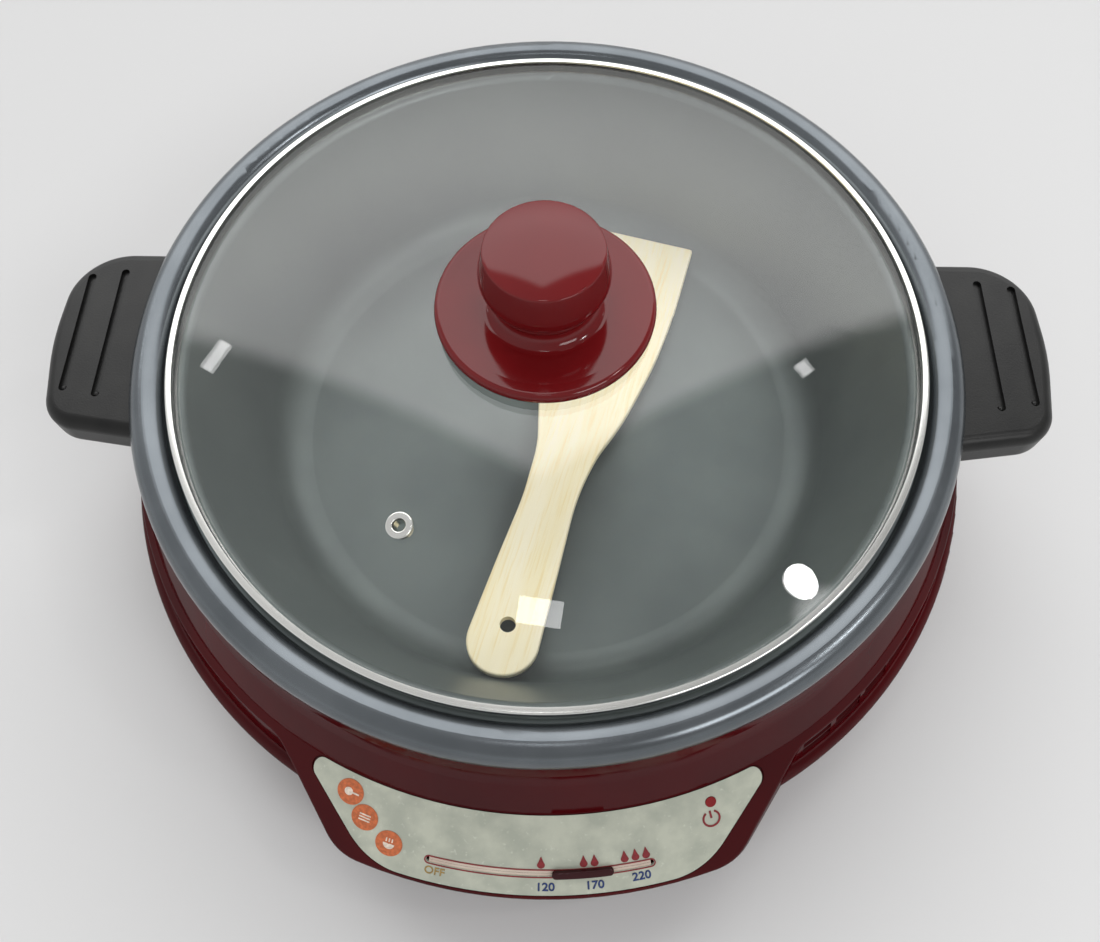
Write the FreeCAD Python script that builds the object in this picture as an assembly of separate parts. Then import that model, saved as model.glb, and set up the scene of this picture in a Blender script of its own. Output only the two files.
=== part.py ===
import FreeCAD, Part
import math
import os
from FreeCAD import Vector

# Electric hot pot, 30 cm: a moulded base with a heating plate, a lift-out pan, a glass lid and a spatula.
# Millimetres. +Z is up, the control panel faces -Y, the pot's axis is the Z axis, and z = 0 is the table.

# ---------------------------------------------------------------- driving sizes

# Pan, lid line and heights above the table
LID_R = 151.5             # outside of the lid's steel band
PAN_FLOOR_Z = 47.0        # cooking surface above the table
PAN_DEPTH = 78.0          # lid line down to the cooking surface
PAN_WALL = 2.5
PAN_FLOOR_INSET = 29.0    # the floor's corner lies this far inside the lid's edge
PAN_FLOOR_FILLET = 16.0
LEDGE_WIDTH = 5.7         # shelf that carries the lid's band
LID_SIDE_GAP = 1.9        # between the band and the pan's rolled rim
ROLL_R = 7.15             # rolled rim
RIM_BELOW_LID = 0.9       # top of the rolled rim below the lid line

# Lid
BAND_HEIGHT = 8.4
BAND_SHEET = 0.9
BAND_EDGE_R = 0.9
BAND_LIP = 2.6            # width of the band's upper lip on the glass
GLASS_THICKNESS = 4.0
GLASS_RISE = 17.45        # crown of the glass above the band's lip
GLASS_PLAY = 0.2          # between glass and steel
KNOB_HOLE_R = 4.5
VENT_R = 101.0            # steam vent from the axis
VENT_AZIMUTH = 240.6      # degrees from +X
VENT_FLANGE_R = 5.0
VENT_BARREL_R = 3.0
VENT_BORE_R = 2.1

# Knob
KNOB_FLANGE_R = 42.6
KNOB_FLANGE_LIP = 5.0
KNOB_NECK_R = 19.0
KNOB_HEAD_FOOT_R = 20.6
KNOB_HEAD_R = 25.5        # where the head's two tapers would meet, before they are rounded together
KNOB_HEAD_TOP_R = 22.2
KNOB_HEAD_SWELL_HEIGHT = 9.0
KNOB_HEAD_SWELL_R = 14.0
KNOB_NECK_HEIGHT = 16.5   # washer to the underside of the head
KNOB_HEAD_HEIGHT = 21.0
KNOB_SCREW_R = 2.5
KNOB_BORE_R = 2.7

# Handles of the pan
HANDLE_REACH = 38.7       # beyond the rolled rim
HANDLE_HALF_WIDTH = 45.0
HANDLE_THICKNESS = 17.5
HANDLE_DROP = 10.5        # handle top below the lid line
HANDLE_REAR_CORNER_R = 26.0
HANDLE_FRONT_CORNER_R = 15.0
HANDLE_FRONT_TAPER = 6.8  # the front side runs in by this towards the outer corner
HANDLE_BOW = 4.2          # the outer side bows out by this
HANDLE_EDGE_R = 5.0
HANDLE_TONGUE_HALF_WIDTH = 28.0
HANDLE_TONGUE_TOP_DROP = 16.0         # below the lid line
GROOVE_WIDTH = 3.4
GROOVE_DEPTH = 1.6
GROOVE_INSETS = (11.4, 25.2)          # from the handle's outermost point
GROOVE_HALF_LENGTHS = (27.0, 29.5)
GROOVE_CENTRE_Y = 4.0
BRACKET_SHEET = 2.0
BRACKET_HALF_WIDTH = 13.0
BRACKET_LENGTH = 36.0
BRACKET_RISE = 4.8        # tab above the handle's underside
HANDLE_SCREWS = (12.0, 29.0)          # from the bracket's root

# Housing
HOUSING_WALL = 2.6
LIP_INSET = 1.5           # housing lip inside the rim's outer radius
LIP_GAP = 1.4             # housing lip below the rolled rim
LIP_EDGE_R = 1.4
UPPER_WALL_OUT = 2.9      # the wall's bend below the lip, outside the lip's edge
UPPER_WALL_DROP = 12.6    # and below it
UPPER_WALL_BEND_R = 40.0
RIDGE_OUT = 14.0          # ridge beyond the rim's outer radius
RIDGE_ROOT_DROP = 56.5    # the line of the wall above the ridge ends this far below the lid line
CHANNEL_OUT = 17.7        # foot of the sloping wall under the ridge, beyond the rim's outer radius
CHANNEL_DROP = 71.0       # and below the lid line
CHANNEL_CORNER_R = 1.5
SKIRT_OUT = 22.2          # skirt beyond the rim's outer radius
SHOULDER_DROP = 73.0      # skirt's shoulder below the lid line
SHOULDER_R = 5.0
PARTING_DROP = 79.0       # seam between the two housings below the lid line
SEAM = 0.3
SKIRT_DRAFT = 4.0
SKIRT_FOOT_R = 4.0
TRAY_Z = 6.0              # underside of the base tray
WEB_DROP = 34.5           # top of the reflector's seat below the lid line
WEB_THICKNESS = 2.6
WEB_INNER_R = 152.0
NOTCH_CLEARANCE = 2.5     # round each handle
NOTCH_BELOW_HANDLE = 3.0
VENT_ROWS = (58.0, 63.2)  # tops of the two rows of slots, below the lid line
VENT_SLOT_HEIGHT = 4.2
VENT_FIRST_AZIMUTH = -55.4
VENT_PITCH = 5.4
VENT_BAR = 0.9            # degrees of wall between two slots
VENT_COUNT = 5            # in the upper row, and one fewer in the lower
VENT_CUT_DEPTH = 14.0

# Control pod on the front
POD_OUT = 39.2            # beyond the rim's outer radius
POD_SIDE_OUT = 3.5        # side planes beyond the rim's outer radius, square to the plane
POD_SIDE_ANGLE = 33.4     # degrees of the side planes' normals from the X axis
POD_CORNER_R = 25.0
POD_BLEND_R = 30.0
POD_CHEEK = 5.4           # the side planes lean in by this from the seam to the face's upper end
POD_CHEEK_HEIGHT = 34.0
POD_FOOT_IN = 4.0         # the front wall leans in by this towards the table
POD_SIDE_FOOT_IN = 2.8
POD_EDGE_R = 1.5          # along the crest of the pod and the ridge
POD_FOOT_EDGE_R = 2.2
POD_ROOM_ROOT_IN = 1.3    # the room's root circle inside the face's upper end, in walls
FACE_TOP_OUT = 10.6       # upper end of the face beyond the rim's outer radius
FACE_TOP_DROP = 49.53     # and below the lid line
FACE_SLOPE = 37.9         # degrees of the face from level

# Control panel, slot and temperature slider
PANEL_THICKNESS = 1.0
PANEL_RECESS = 0.8
PANEL_MARGIN = 1.3        # panel's lower edge inside the pod's front
PANEL_TOP_MARGIN = 0.6
PANEL_SIDE_MARGIN = 9.6   # panel's side edges inside the pod's side planes at the seam
PANEL_CORNER_R = 33.0
PANEL_TOP_CORNER_R = 3.6
PANEL_PLAY = 0.25
SLOT_INSET = 9.0          # slot's centre line inside the pod's front
SLOT_WIDTH = 2.4
SLOT_START = -11.7        # slot's ends, degrees about the pot's axis from the front (-Y)
SLOT_END = 12.7
LEVER_REST = 5.2          # slider's place now, degrees from the front
SLIDER_HALF_SPAN = 2.9    # degrees, without the rounded ends
SLIDER_WIDTH = 3.2
SLIDER_HEIGHT = 1.6
SLIDER_EDGE_R = 0.6
SLIDER_GAP = 0.4
BLADE_IN_SLIDER = 0.6     # the blade fills this share of the slider's height
LEVER_STRIP = 1.5
LEVER_WIDTH = 12.0
LEVER_BLADE_WIDTH = 8.0
LEVER_HUB_R = 9.0
LEVER_RISE_BACK = 22.0    # the blade bends this far below the slot, square to the panel
LEVER_Z = 11.0            # underside of the long arm
GUIDE_GAP = 3.0           # between the pod's skin and the lever guide
GUIDE_PLATE = 2.0
GUIDE_WIDTH = 14.0
GUIDE_STUD_R = 3.4
GUIDE_SCREW_BORE_R = 1.2
GUIDE_STUDS = (-17.5, 17.5)           # degrees from the front
LENS_R = 2.1
LENS_AZIMUTH = 20.8       # degrees from the front
LENS_PITCH_R = 184.0
LENS_DEPTH = 3.0          # behind the housing's skin
LAMP_R = 3.0
LAMP_LENGTH = 13.9

# Heating plate and what hangs under it
PLATE_R = 88.0
PLATE_THICKNESS = 9.0
ELEMENT_RING_R = 60.0
ELEMENT_R = 3.6
ELEMENT_BOSS_WIDTH = 14.0
ELEMENT_BOSS_DROP = 6.0
ELEMENT_GAP_ANGLE = 24.0  # between the element's cold ends
COLD_END_DROP = 5.0
COLLAR_R = 2.6
COLLAR_HEIGHT = 2.4
SPADE_SHEET = 0.8
SPADE_LENGTH = 4.1
POST_R = 4.5
POST_PITCH_R = 77.0
POST_AZIMUTHS = (90.0, 210.0, 330.0)
THERMOSTAT_R = 16.0
THERMOSTAT_HEIGHT = 15.4
SPADE_REACH = 8.0
BRACKET_STRIP = 1.2
THERMOSTAT_BRACKET_HALF_LENGTH = 27.0
THERMOSTAT_BRACKET_HALF_WIDTH = 8.0
THERMOSTAT_SCREW_R = 1.48
THERMOSTAT_SCREW_INSET = 5.0          # from the bracket's ends
SHAFT_R = 3.0
SHAFT_PLAY = 0.05

# Heat reflector
REFLECTOR_Z = 16.0
REFLECTOR_SHEET = 0.8
REFLECTOR_FLOOR_R = 126.0
REFLECTOR_TOP_R = 148.5
REFLECTOR_FLANGE_R = 161.5
REFLECTOR_HOLE_R = 9.0

# Base tray, feet and fasteners
FLOOR_VENT_RINGS = ((46.0, 8), (56.0, 10), (98.0, 16))
FLOOR_VENT_WIDTH = 3.2
FLOOR_VENT_SHARE = 0.6    # of the ring, open
FOOT_R = 9.0
FOOT_PLUG_R = 2.5
FOOT_PITCH_R = 160.0
FOOT_AZIMUTHS = (45.0, 135.0, 225.0, 315.0)
FOOT_SEAT = 1.6           # feet sink into the tray by this
BOSS_PITCH_R = 168.0
BOSS_R = 4.5
BOSS_AZIMUTHS = (20.0, 160.0, 200.0, 340.0)
BOSS_JOIN_Z = 14.0        # where the two housings' screw bosses meet
POST_BOSS_R = 7.5
POST_SCREW_SEAT_Z = 11.5
REFLECTOR_SCREW_R = 157.0
REFLECTOR_SCREW_AZIMUTHS = (60.0, 180.0, 300.0)
REFLECTOR_SCREW_BORE_R = 1.6
SCREW_R = 2.0
SCREW_HEAD_R = 3.8
SCREW_HEAD_HEIGHT = 2.6
SCREW_LENGTH = 20.0
SCREW_DEPTH = 5.0         # screw seat above the tray's underside

# Appliance inlet
INLET_HALF_WIDTH = 13.6
INLET_HALF_HEIGHT = 9.8
INLET_DEPTH = 24.0
INLET_FLANGE = 2.0
INLET_FLANGE_HALF_WIDTH = 24.0
INLET_CAVITY_HALF_WIDTH = 12.0
INLET_CAVITY_HALF_HEIGHT = 8.2
INLET_CAVITY_DEPTH = 17.0
INLET_CHAMFER = 4.5       # upper corners of the cavity
INLET_PIN_PITCH = 7.0
INLET_Z = 27.0
INLET_BOX_MARGIN = 2.6
INLET_PIN_TAIL = 6.0      # behind the socket, for the leads
INLET_BLOCK_START = 150.0 # the block begins inside the round housing, this far behind the axis
INLET_SCREW_PITCH = 20.0  # half of the distance between the inlet's two screws
INLET_SCREW_BORE_R = 1.3
INLET_SCREW_SINK = 1.0

# Leads
LEAD_R = 1.4
LEAD_BEND_R = 5.0         # largest bend of a lead
UNDER_BOWL_Z = 13.3
LAMP_LEAD_Z = 10.1

# Spatula
SPATULA_THICKNESS = 4.4
SPATULA_HOLE_R = 3.4

FIT = 0.1                 # play between pieces that bolt together

# ---------------------------------------------------------------- sizes that follow

LID_Z = PAN_FLOOR_Z + PAN_DEPTH
LEDGE_Z = LID_Z - BAND_HEIGHT
WALL_TOP_R = LID_R - LEDGE_WIDTH
FLOOR_CORNER_R = LID_R - PAN_FLOOR_INSET
PAN_WALL_SECANT = math.hypot(1.0, (LID_R - LEDGE_WIDTH - FLOOR_CORNER_R) / (LEDGE_Z - PAN_FLOOR_Z))
RIM_INNER_R = LID_R + LID_SIDE_GAP
RIM_R = RIM_INNER_R + ROLL_R
RIM_OUTER_R = RIM_INNER_R + 2 * ROLL_R
RIM_TOP_Z = LID_Z - RIM_BELOW_LID
RIM_BOTTOM_Z = RIM_TOP_Z - 2 * ROLL_R
PLATE_TOP_Z = PAN_FLOOR_Z - PAN_WALL
PLATE_UNDER_Z = PLATE_TOP_Z - PLATE_THICKNESS

LIP_R = RIM_OUTER_R - LIP_INSET
LIP_Z = RIM_BOTTOM_Z - LIP_GAP
RIDGE_R = RIM_OUTER_R + RIDGE_OUT
CHANNEL_R = RIM_OUTER_R + CHANNEL_OUT
CHANNEL_Z = LID_Z - CHANNEL_DROP
SKIRT_R = RIM_OUTER_R + SKIRT_OUT
SHOULDER_Z = LID_Z - SHOULDER_DROP
PARTING_Z = LID_Z - PARTING_DROP
WEB_Z = LID_Z - WEB_DROP
TRAY_TOP_Z = TRAY_Z + HOUSING_WALL

POD_R = RIM_OUTER_R + POD_OUT
POD_SIDE = RIM_OUTER_R + POD_SIDE_OUT
FACE_TOP_R = RIM_OUTER_R + FACE_TOP_OUT
FACE_TOP_Z = LID_Z - FACE_TOP_DROP
FACE_DROP = math.tan(math.radians(FACE_SLOPE))
SLOT_R = POD_R - SLOT_INSET

HANDLE_TOP_Z = LID_Z - HANDLE_DROP
HANDLE_UNDER_Z = HANDLE_TOP_Z - HANDLE_THICKNESS
HANDLE_X = RIM_OUTER_R + HANDLE_REACH

WEDGE_FAR = 400.0         # larger than the pot, for cutting prisms

ORIGIN = Vector(0, 0, 0)
UP = Vector(0, 0, 1)


# ---------------------------------------------------------------- drawing helpers

def corner_wire(corners, place):
    """A closed outline of straight runs. Each corner is (u, v, radius); a radius of 0 leaves it sharp."""
    points = [Vector(u, v, 0) for u, v, _ in corners]
    count = len(corners)
    starts, ends, arcs = [], [], []
    for i in range(count):
        corner, radius = points[i], corners[i][2]
        if radius <= 0:
            starts.append(corner)
            ends.append(corner)
            arcs.append(None)
            continue
        back = (points[i - 1] - corner).normalize()
        ahead = (points[(i + 1) % count] - corner).normalize()
        half = back.getAngle(ahead) / 2
        reach = radius / math.tan(half)
        middle = (back + ahead).normalize()
        centre = corner + middle * (radius / math.sin(half))
        starts.append(corner + back * reach)
        ends.append(corner + ahead * reach)
        arcs.append(centre - middle * radius)
    edges = []
    for i in range(count):
        if arcs[i] is not None:
            edges.append(Part.Arc(place(starts[i]), place(arcs[i]), place(ends[i])).toShape())
        following = starts[(i + 1) % count]
        if (following - ends[i]).Length > 1e-6:
            edges.append(Part.LineSegment(place(ends[i]), place(following)).toShape())
    return Part.Wire(edges)


def in_section(point):
    """Section coordinates (radius, height) as a point of the XZ plane."""
    return Vector(point.x, 0, point.y)


def turned(corners, angle=360.0, start=0.0):
    """A solid of revolution about the pot's axis from section corners (radius, height, corner radius)."""
    face = Part.Face(corner_wire(corners, in_section))
    solid = face.revolve(ORIGIN, UP, angle)
    return solid.rotated(ORIGIN, UP, start) if start else solid


def turned_wire(edges):
    """A solid of revolution about the pot's axis from edges that close in the XZ plane."""
    return Part.Face(Part.Wire(edges)).revolve(ORIGIN, UP, 360.0)


def prism(corners, z_low, z_high):
    """An upright prism on plan corners (x, y, corner radius)."""
    wire = corner_wire(corners, lambda p: Vector(p.x, p.y, z_low))
    return Part.Face(wire).extrude(Vector(0, 0, z_high - z_low))


def sheet_corners(path, thickness):
    """Closes an open path (u, v, radius) into a sheet: the second face lies on the path's right."""
    points = [Vector(u, v, 0) for u, v, _ in path]
    rights = []
    for a, b in zip(points, points[1:]):
        run = (b - a).normalize()
        rights.append(Vector(run.y, -run.x, 0))
    far_side = []
    for i, (point, corner) in enumerate(zip(points, path)):
        before = rights[max(i - 1, 0)]
        after = rights[min(i, len(rights) - 1)]
        shift = (before + after) * (thickness / (1 + before.dot(after)))
        turn = before.cross(after).z
        radius = corner[2]
        if radius > 0:
            radius = radius - thickness if turn < 0 else radius + thickness
        moved = point + shift
        far_side.append((moved.x, moved.y, max(radius, 0)))
    return [tuple(c) for c in path] + far_side[::-1]


def tube(points, radius, largest_bend):
    """A round tube along straight runs joined by tangent arcs, each as large as its runs leave room for."""
    corners = [Vector(*p) for p in points]
    edges = []
    here = corners[0]
    for before, corner, after in zip(corners, corners[1:], corners[2:]):
        back = (before - corner).normalize()
        ahead = (after - corner).normalize()
        half = back.getAngle(ahead) / 2
        short = min((before - corner).Length, (after - corner).Length)
        bend = min(largest_bend, 0.45 * short * math.tan(half))
        reach = bend / math.tan(half)
        middle = (back + ahead).normalize()
        start = corner + back * reach
        centre = corner + middle * (bend / math.sin(half))
        edges.append(Part.LineSegment(here, start).toShape())
        here = corner + ahead * reach
        edges.append(Part.Arc(start, centre - middle * bend, here).toShape())
    edges.append(Part.LineSegment(here, corners[-1]).toShape())
    first = (corners[1] - corners[0]).normalize()
    ring = Part.Wire([Part.Circle(corners[0], first, radius).toShape()])
    return Part.Wire(edges).makePipeShell([ring], True, True)


def rod(radius, z_low, z_high, x=0.0, y=0.0):
    return Part.makeCylinder(radius, z_high - z_low, Vector(x, y, z_low), UP)


def polar(radius, azimuth, z=0.0):
    angle = math.radians(azimuth)
    return Vector(radius * math.cos(angle), radius * math.sin(angle), z)


def box_between(low, high):
    size = [b - a for a, b in zip(low, high)]
    return Part.makeBox(*size, Vector(*low))


def fused(shapes):
    first, rest = shapes[0], shapes[1:]
    return first.fuse(rest).removeSplitter() if rest else first


def pan_head_screw(place, axis, length, radius=SCREW_R, head_r=SCREW_HEAD_R, head=SCREW_HEAD_HEIGHT):
    """A cross-recess screw: place is the seat under its head, axis points along the shank."""
    profile = [(0, -head, 0), (head_r * 0.8, -head, 0), (head_r, -head * 0.45, 0), (head_r, 0, 0),
               (radius, 0, 0), (radius, length - radius, 0), (radius * 0.45, length, 0), (0, length, 0)]
    screw = turned(profile)
    slot = head_r * 1.1
    for turn in (0, 90):
        bar = Part.makeBox(slot, 0.9, head * 0.6, Vector(-slot / 2, -0.45, -head))
        screw = screw.cut(bar.rotated(ORIGIN, UP, turn))
    screw.Placement = FreeCAD.Placement(place, FreeCAD.Rotation(UP, axis))
    return screw


# ---------------------------------------------------------------- the pan and what it carries

def pan_wall_r(z):
    """Inner radius of the pan's straight wall at a height."""
    share = (z - PAN_FLOOR_Z) / (LEDGE_Z - PAN_FLOOR_Z)
    return FLOOR_CORNER_R + share * (WALL_TOP_R - FLOOR_CORNER_R)


def make_pan():
    """One spun sheet: floor, flared wall, a ledge for the lid and a rim rolled outward and down."""
    path = [
        (0, PAN_FLOOR_Z, 0),
        (FLOOR_CORNER_R, PAN_FLOOR_Z, PAN_FLOOR_FILLET),
        (WALL_TOP_R, LEDGE_Z, PAN_WALL + 0.6),
        (RIM_INNER_R, LEDGE_Z, 0.6),
        (RIM_INNER_R, RIM_TOP_Z, ROLL_R - 0.7),
        (RIM_OUTER_R, RIM_TOP_Z, ROLL_R - 0.01),
        (RIM_OUTER_R, RIM_BOTTOM_Z, ROLL_R - 2.6),
        (RIM_R, RIM_BOTTOM_Z, 0),
    ]
    return turned(sheet_corners(path, PAN_WALL))


def handle_outline():
    """Plan of the right handle: square behind, tapered in front, the outer side bowed, with round corners."""
    inner = RIM_INNER_R
    half = HANDLE_HALF_WIDTH
    front = half - HANDLE_FRONT_TAPER
    return [
        (inner, -half, 0),
        (HANDLE_X - HANDLE_BOW * 1.3, -front, HANDLE_FRONT_CORNER_R),
        (HANDLE_X + 0.2, 0, 120.0),
        (HANDLE_X - HANDLE_BOW * 0.6, half, HANDLE_REAR_CORNER_R),
        (inner, half, 0),
    ]


def make_handle():
    """Right handle, moulded in one: a grip beyond the rim and a tongue that tucks under it."""
    grip = prism(handle_outline(), HANDLE_UNDER_Z, HANDLE_TOP_Z)
    outline = [e for e in grip.Edges
               if abs(e.BoundBox.ZLength) < 1e-6 and e.BoundBox.XMax > RIM_INNER_R + 1]
    grip = grip.makeFillet(HANDLE_EDGE_R, outline)
    grip = grip.cut(rod(RIM_OUTER_R + 1.2, HANDLE_UNDER_Z - 1, HANDLE_TOP_Z + 1))
    tongue_top = LID_Z - HANDLE_TONGUE_TOP_DROP
    reach = pan_wall_r(tongue_top) + PAN_WALL + BRACKET_SHEET + 1.6
    half = HANDLE_TONGUE_HALF_WIDTH
    tongue = box_between((0, -half, HANDLE_UNDER_Z), (RIM_OUTER_R + 14, half, tongue_top))
    tongue = tongue.cut(rod(reach, HANDLE_UNDER_Z - 1, tongue_top + 1))
    handle = fused([grip, tongue])
    for inset, groove_half in zip(GROOVE_INSETS, GROOVE_HALF_LENGTHS):
        handle = handle.cut(groove(HANDLE_X - inset, groove_half))
    tab_z = bracket_z()
    half = BRACKET_HALF_WIDTH + FIT
    pocket = box_between((0, -half, tab_z - FIT),
                         (bracket_root() + BRACKET_LENGTH + FIT, half, tab_z + BRACKET_SHEET + FIT))
    handle = handle.cut(pocket)
    for x in handle_screw_places():
        handle = handle.cut(rod(SCREW_R, HANDLE_UNDER_Z - 1, tab_z + 6, x))
        handle = handle.cut(rod(SCREW_HEAD_R + 0.3, HANDLE_UNDER_Z - 1, HANDLE_SCREW_SEAT_Z, x))
    return handle


def groove(x, half):
    """A round-ended groove along Y in the handle's top, with a bead left at its front end."""
    low = HANDLE_TOP_Z - GROOVE_DEPTH
    width = GROOVE_WIDTH / 2
    y_front, y_rear = GROOVE_CENTRE_Y - half, GROOVE_CENTRE_Y + half
    run = box_between((x - width, y_front, low), (x + width, y_rear, HANDLE_TOP_Z + 1))
    ends = [rod(width, low, HANDLE_TOP_Z + 1, x, y) for y in (y_front, y_rear)]
    bead = Part.makeSphere(width * 0.75, Vector(x, y_front, low))
    return fused([run] + ends).cut(bead)


def bracket_z():
    """Underside of the handle bracket's tab."""
    return HANDLE_UNDER_Z + BRACKET_RISE


def bracket_root():
    return pan_wall_r(bracket_z()) + PAN_WALL + BRACKET_SHEET * 0.6


def handle_screw_places():
    return [bracket_root() + x for x in HANDLE_SCREWS]


HANDLE_SCREW_SEAT_Z = HANDLE_UNDER_Z + SCREW_HEAD_HEIGHT + 0.4


def make_bracket():
    """Right handle's steel bracket: a curved foot welded to the pan's wall and a tab into the handle."""
    foot_low, foot_high = HANDLE_UNDER_Z + 0.4, LID_Z - HANDLE_TONGUE_TOP_DROP - 0.4
    inner_low = pan_wall_r(foot_low) + PAN_WALL * PAN_WALL_SECANT + 0.06
    inner_high = pan_wall_r(foot_high) + PAN_WALL * PAN_WALL_SECANT + 0.06
    foot = turned([(inner_low, foot_low, 0), (inner_low + BRACKET_SHEET, foot_low, 0),
                   (inner_high + BRACKET_SHEET, foot_high, 0), (inner_high, foot_high, 0)])
    slab = box_between((0, -BRACKET_HALF_WIDTH, foot_low), (WEDGE_FAR, BRACKET_HALF_WIDTH, foot_high))
    foot = foot.common(slab)
    z = bracket_z()
    root = bracket_root()
    end = root + BRACKET_LENGTH
    tab = box_between((root, -BRACKET_HALF_WIDTH, z), (end, BRACKET_HALF_WIDTH, z + BRACKET_SHEET))
    bracket = fused([foot, tab])
    for x in handle_screw_places():
        bracket = bracket.cut(rod(SCREW_R, z - 1, z + BRACKET_SHEET + 1, x))
    return bracket


def make_handle_screws():
    length = bracket_z() + 5.5 - HANDLE_SCREW_SEAT_Z
    return [pan_head_screw(Vector(x, 0, HANDLE_SCREW_SEAT_Z), UP, length, SCREW_R - 0.02)
            for x in handle_screw_places()]


def mirrored(shape):
    return shape.mirror(ORIGIN, Vector(1, 0, 0))


# ---------------------------------------------------------------- the lid

GLASS_LIP_R = LID_R - BAND_LIP
GLASS_LIP_Z = LID_Z - BAND_SHEET - 0.05
GLASS_EDGE_R = LID_R - BAND_SHEET - GLASS_PLAY
GLASS_SPHERE_R = (GLASS_LIP_R ** 2 + GLASS_RISE ** 2) / (2 * GLASS_RISE)
CROWN_Z = GLASS_LIP_Z + GLASS_RISE
SPHERE_Z = CROWN_Z - GLASS_SPHERE_R


def dome_z(r, below=0.0):
    """Height of the glass at a radius, or of the sphere that lies that far below its top."""
    return SPHERE_Z + math.sqrt((GLASS_SPHERE_R - below) ** 2 - r ** 2)


def dome_edge(r_from, r_to, below):
    middle = (r_from + r_to) / 2
    points = [Vector(r, 0, dome_z(r, below)) for r in (r_from, middle, r_to)]
    return Part.Arc(*points).toShape()


def line(a, b):
    return Part.LineSegment(Vector(a[0], 0, a[1]), Vector(b[0], 0, b[1])).toShape()


def dome_ring(r_in, r_out, top, bottom):
    """A ring between two concentric domes, which lie top and bottom below the glass's upper face."""
    return turned_wire([
        dome_edge(r_in, r_out, top),
        line((r_out, dome_z(r_out, top)), (r_out, dome_z(r_out, bottom))),
        dome_edge(r_out, r_in, bottom),
        line((r_in, dome_z(r_in, bottom)), (r_in, dome_z(r_in, top))),
    ])


def at_vent(shape):
    """Moves a shape made upright at the origin onto the glass at the steam vent, square to it."""
    place = polar(VENT_R, VENT_AZIMUTH, dome_z(VENT_R))
    normal = (place - Vector(0, 0, SPHERE_Z)).normalize()
    moved = shape.copy()
    moved.Placement = FreeCAD.Placement(place, FreeCAD.Rotation(UP, normal))
    return moved


def make_lid_glass():
    glass = dome_ring(KNOB_HOLE_R, GLASS_EDGE_R, 0.0, GLASS_THICKNESS)
    return glass.cut(at_vent(rod(VENT_BARREL_R + GLASS_PLAY, -GLASS_THICKNESS * 2, GLASS_THICKNESS)))


def make_lid_band():
    """Steel channel rolled round the glass's edge; its lower flange rests on the pan's ledge."""
    path = [
        (LID_R - BAND_LIP - 0.8, LEDGE_Z, 0),
        (LID_R, LEDGE_Z, BAND_EDGE_R),
        (LID_R, LID_Z, BAND_EDGE_R),
        (GLASS_LIP_R, LID_Z, 0),
    ]
    return turned(sheet_corners(path[::-1], BAND_SHEET))


def make_lid_seal():
    """Silicone ring between the glass's edge and the band's lower flange."""
    low = LEDGE_Z + BAND_SHEET + 0.05
    inner, outer = LID_R - BAND_LIP - 0.4, GLASS_EDGE_R
    under = GLASS_THICKNESS + 0.05
    return turned_wire([
        line((inner, low), (outer - BAND_SHEET, low)),
        line((outer - BAND_SHEET, low), (outer, low + BAND_SHEET)),
        line((outer, low + BAND_SHEET), (outer, dome_z(outer, under))),
        dome_edge(outer, inner, under),
        line((inner, dome_z(inner, under)), (inner, low)),
    ])


VENT_WASHER = 0.6
VENT_FLANGE = 0.9


def make_vent_eyelet():
    """Tubular rivet: a rolled flange above the washer, a barrel through the glass and a flared tail."""
    top = VENT_WASHER + 0.05
    tail = -GLASS_THICKNESS - 0.1
    eyelet = turned([
        (VENT_BORE_R, tail - 0.9, 0), (VENT_FLANGE_R - 0.8, tail - 0.9, 0.3), (VENT_FLANGE_R - 0.8, tail, 0),
        (VENT_BARREL_R, tail, 0), (VENT_BARREL_R, top, 0), (VENT_FLANGE_R, top, 0),
        (VENT_FLANGE_R, top + VENT_FLANGE, 0.6), (VENT_BORE_R + 0.5, top + VENT_FLANGE, 0.45),
        (VENT_BORE_R, top, 0)])
    return at_vent(eyelet)


def make_vent_washer():
    ring = turned([(VENT_BARREL_R + 0.05, 0.05, 0), (VENT_FLANGE_R - 0.4, 0.05, 0),
                   (VENT_FLANGE_R - 0.4, VENT_WASHER, 0), (VENT_BARREL_R + 0.05, VENT_WASHER, 0)])
    return at_vent(ring)


KNOB_GASKET = 1.0
KNOB_Z = CROWN_Z + KNOB_GASKET
HEAD_Z = KNOB_Z + KNOB_NECK_HEIGHT
KNOB_SPIGOT_R = 9.0
KNOB_SPIGOT = 5.0


def make_knob_skirt():
    """Flange with a rolled lip and a dished top, running up a round fillet into the neck."""
    lip_low = dome_z(KNOB_FLANGE_R) + 1.0
    lip_high = lip_low + KNOB_FLANGE_LIP
    wall = 3.0
    skirt = turned([
        (KNOB_BORE_R, KNOB_Z, 0),
        (15.0, KNOB_Z, 0),
        (15.0, KNOB_Z + 1.4, 0),
        (KNOB_FLANGE_R - wall, lip_low + 1.4, 0),
        (KNOB_FLANGE_R - wall + 0.6, lip_low, 0),
        (KNOB_FLANGE_R, lip_low, 2.2),
        (KNOB_FLANGE_R, lip_high, 2.4),
        (KNOB_FLANGE_R - 6.0, lip_high - 0.2, 4.0),
        (KNOB_NECK_R, KNOB_Z + 3.4, 5.5),
        (KNOB_NECK_R, HEAD_Z, 0),
        (KNOB_BORE_R, HEAD_Z, 0)])
    socket = rod(KNOB_SPIGOT_R + FIT, HEAD_Z - KNOB_SPIGOT - FIT, HEAD_Z + 1)
    return skirt.cut(socket)


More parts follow.
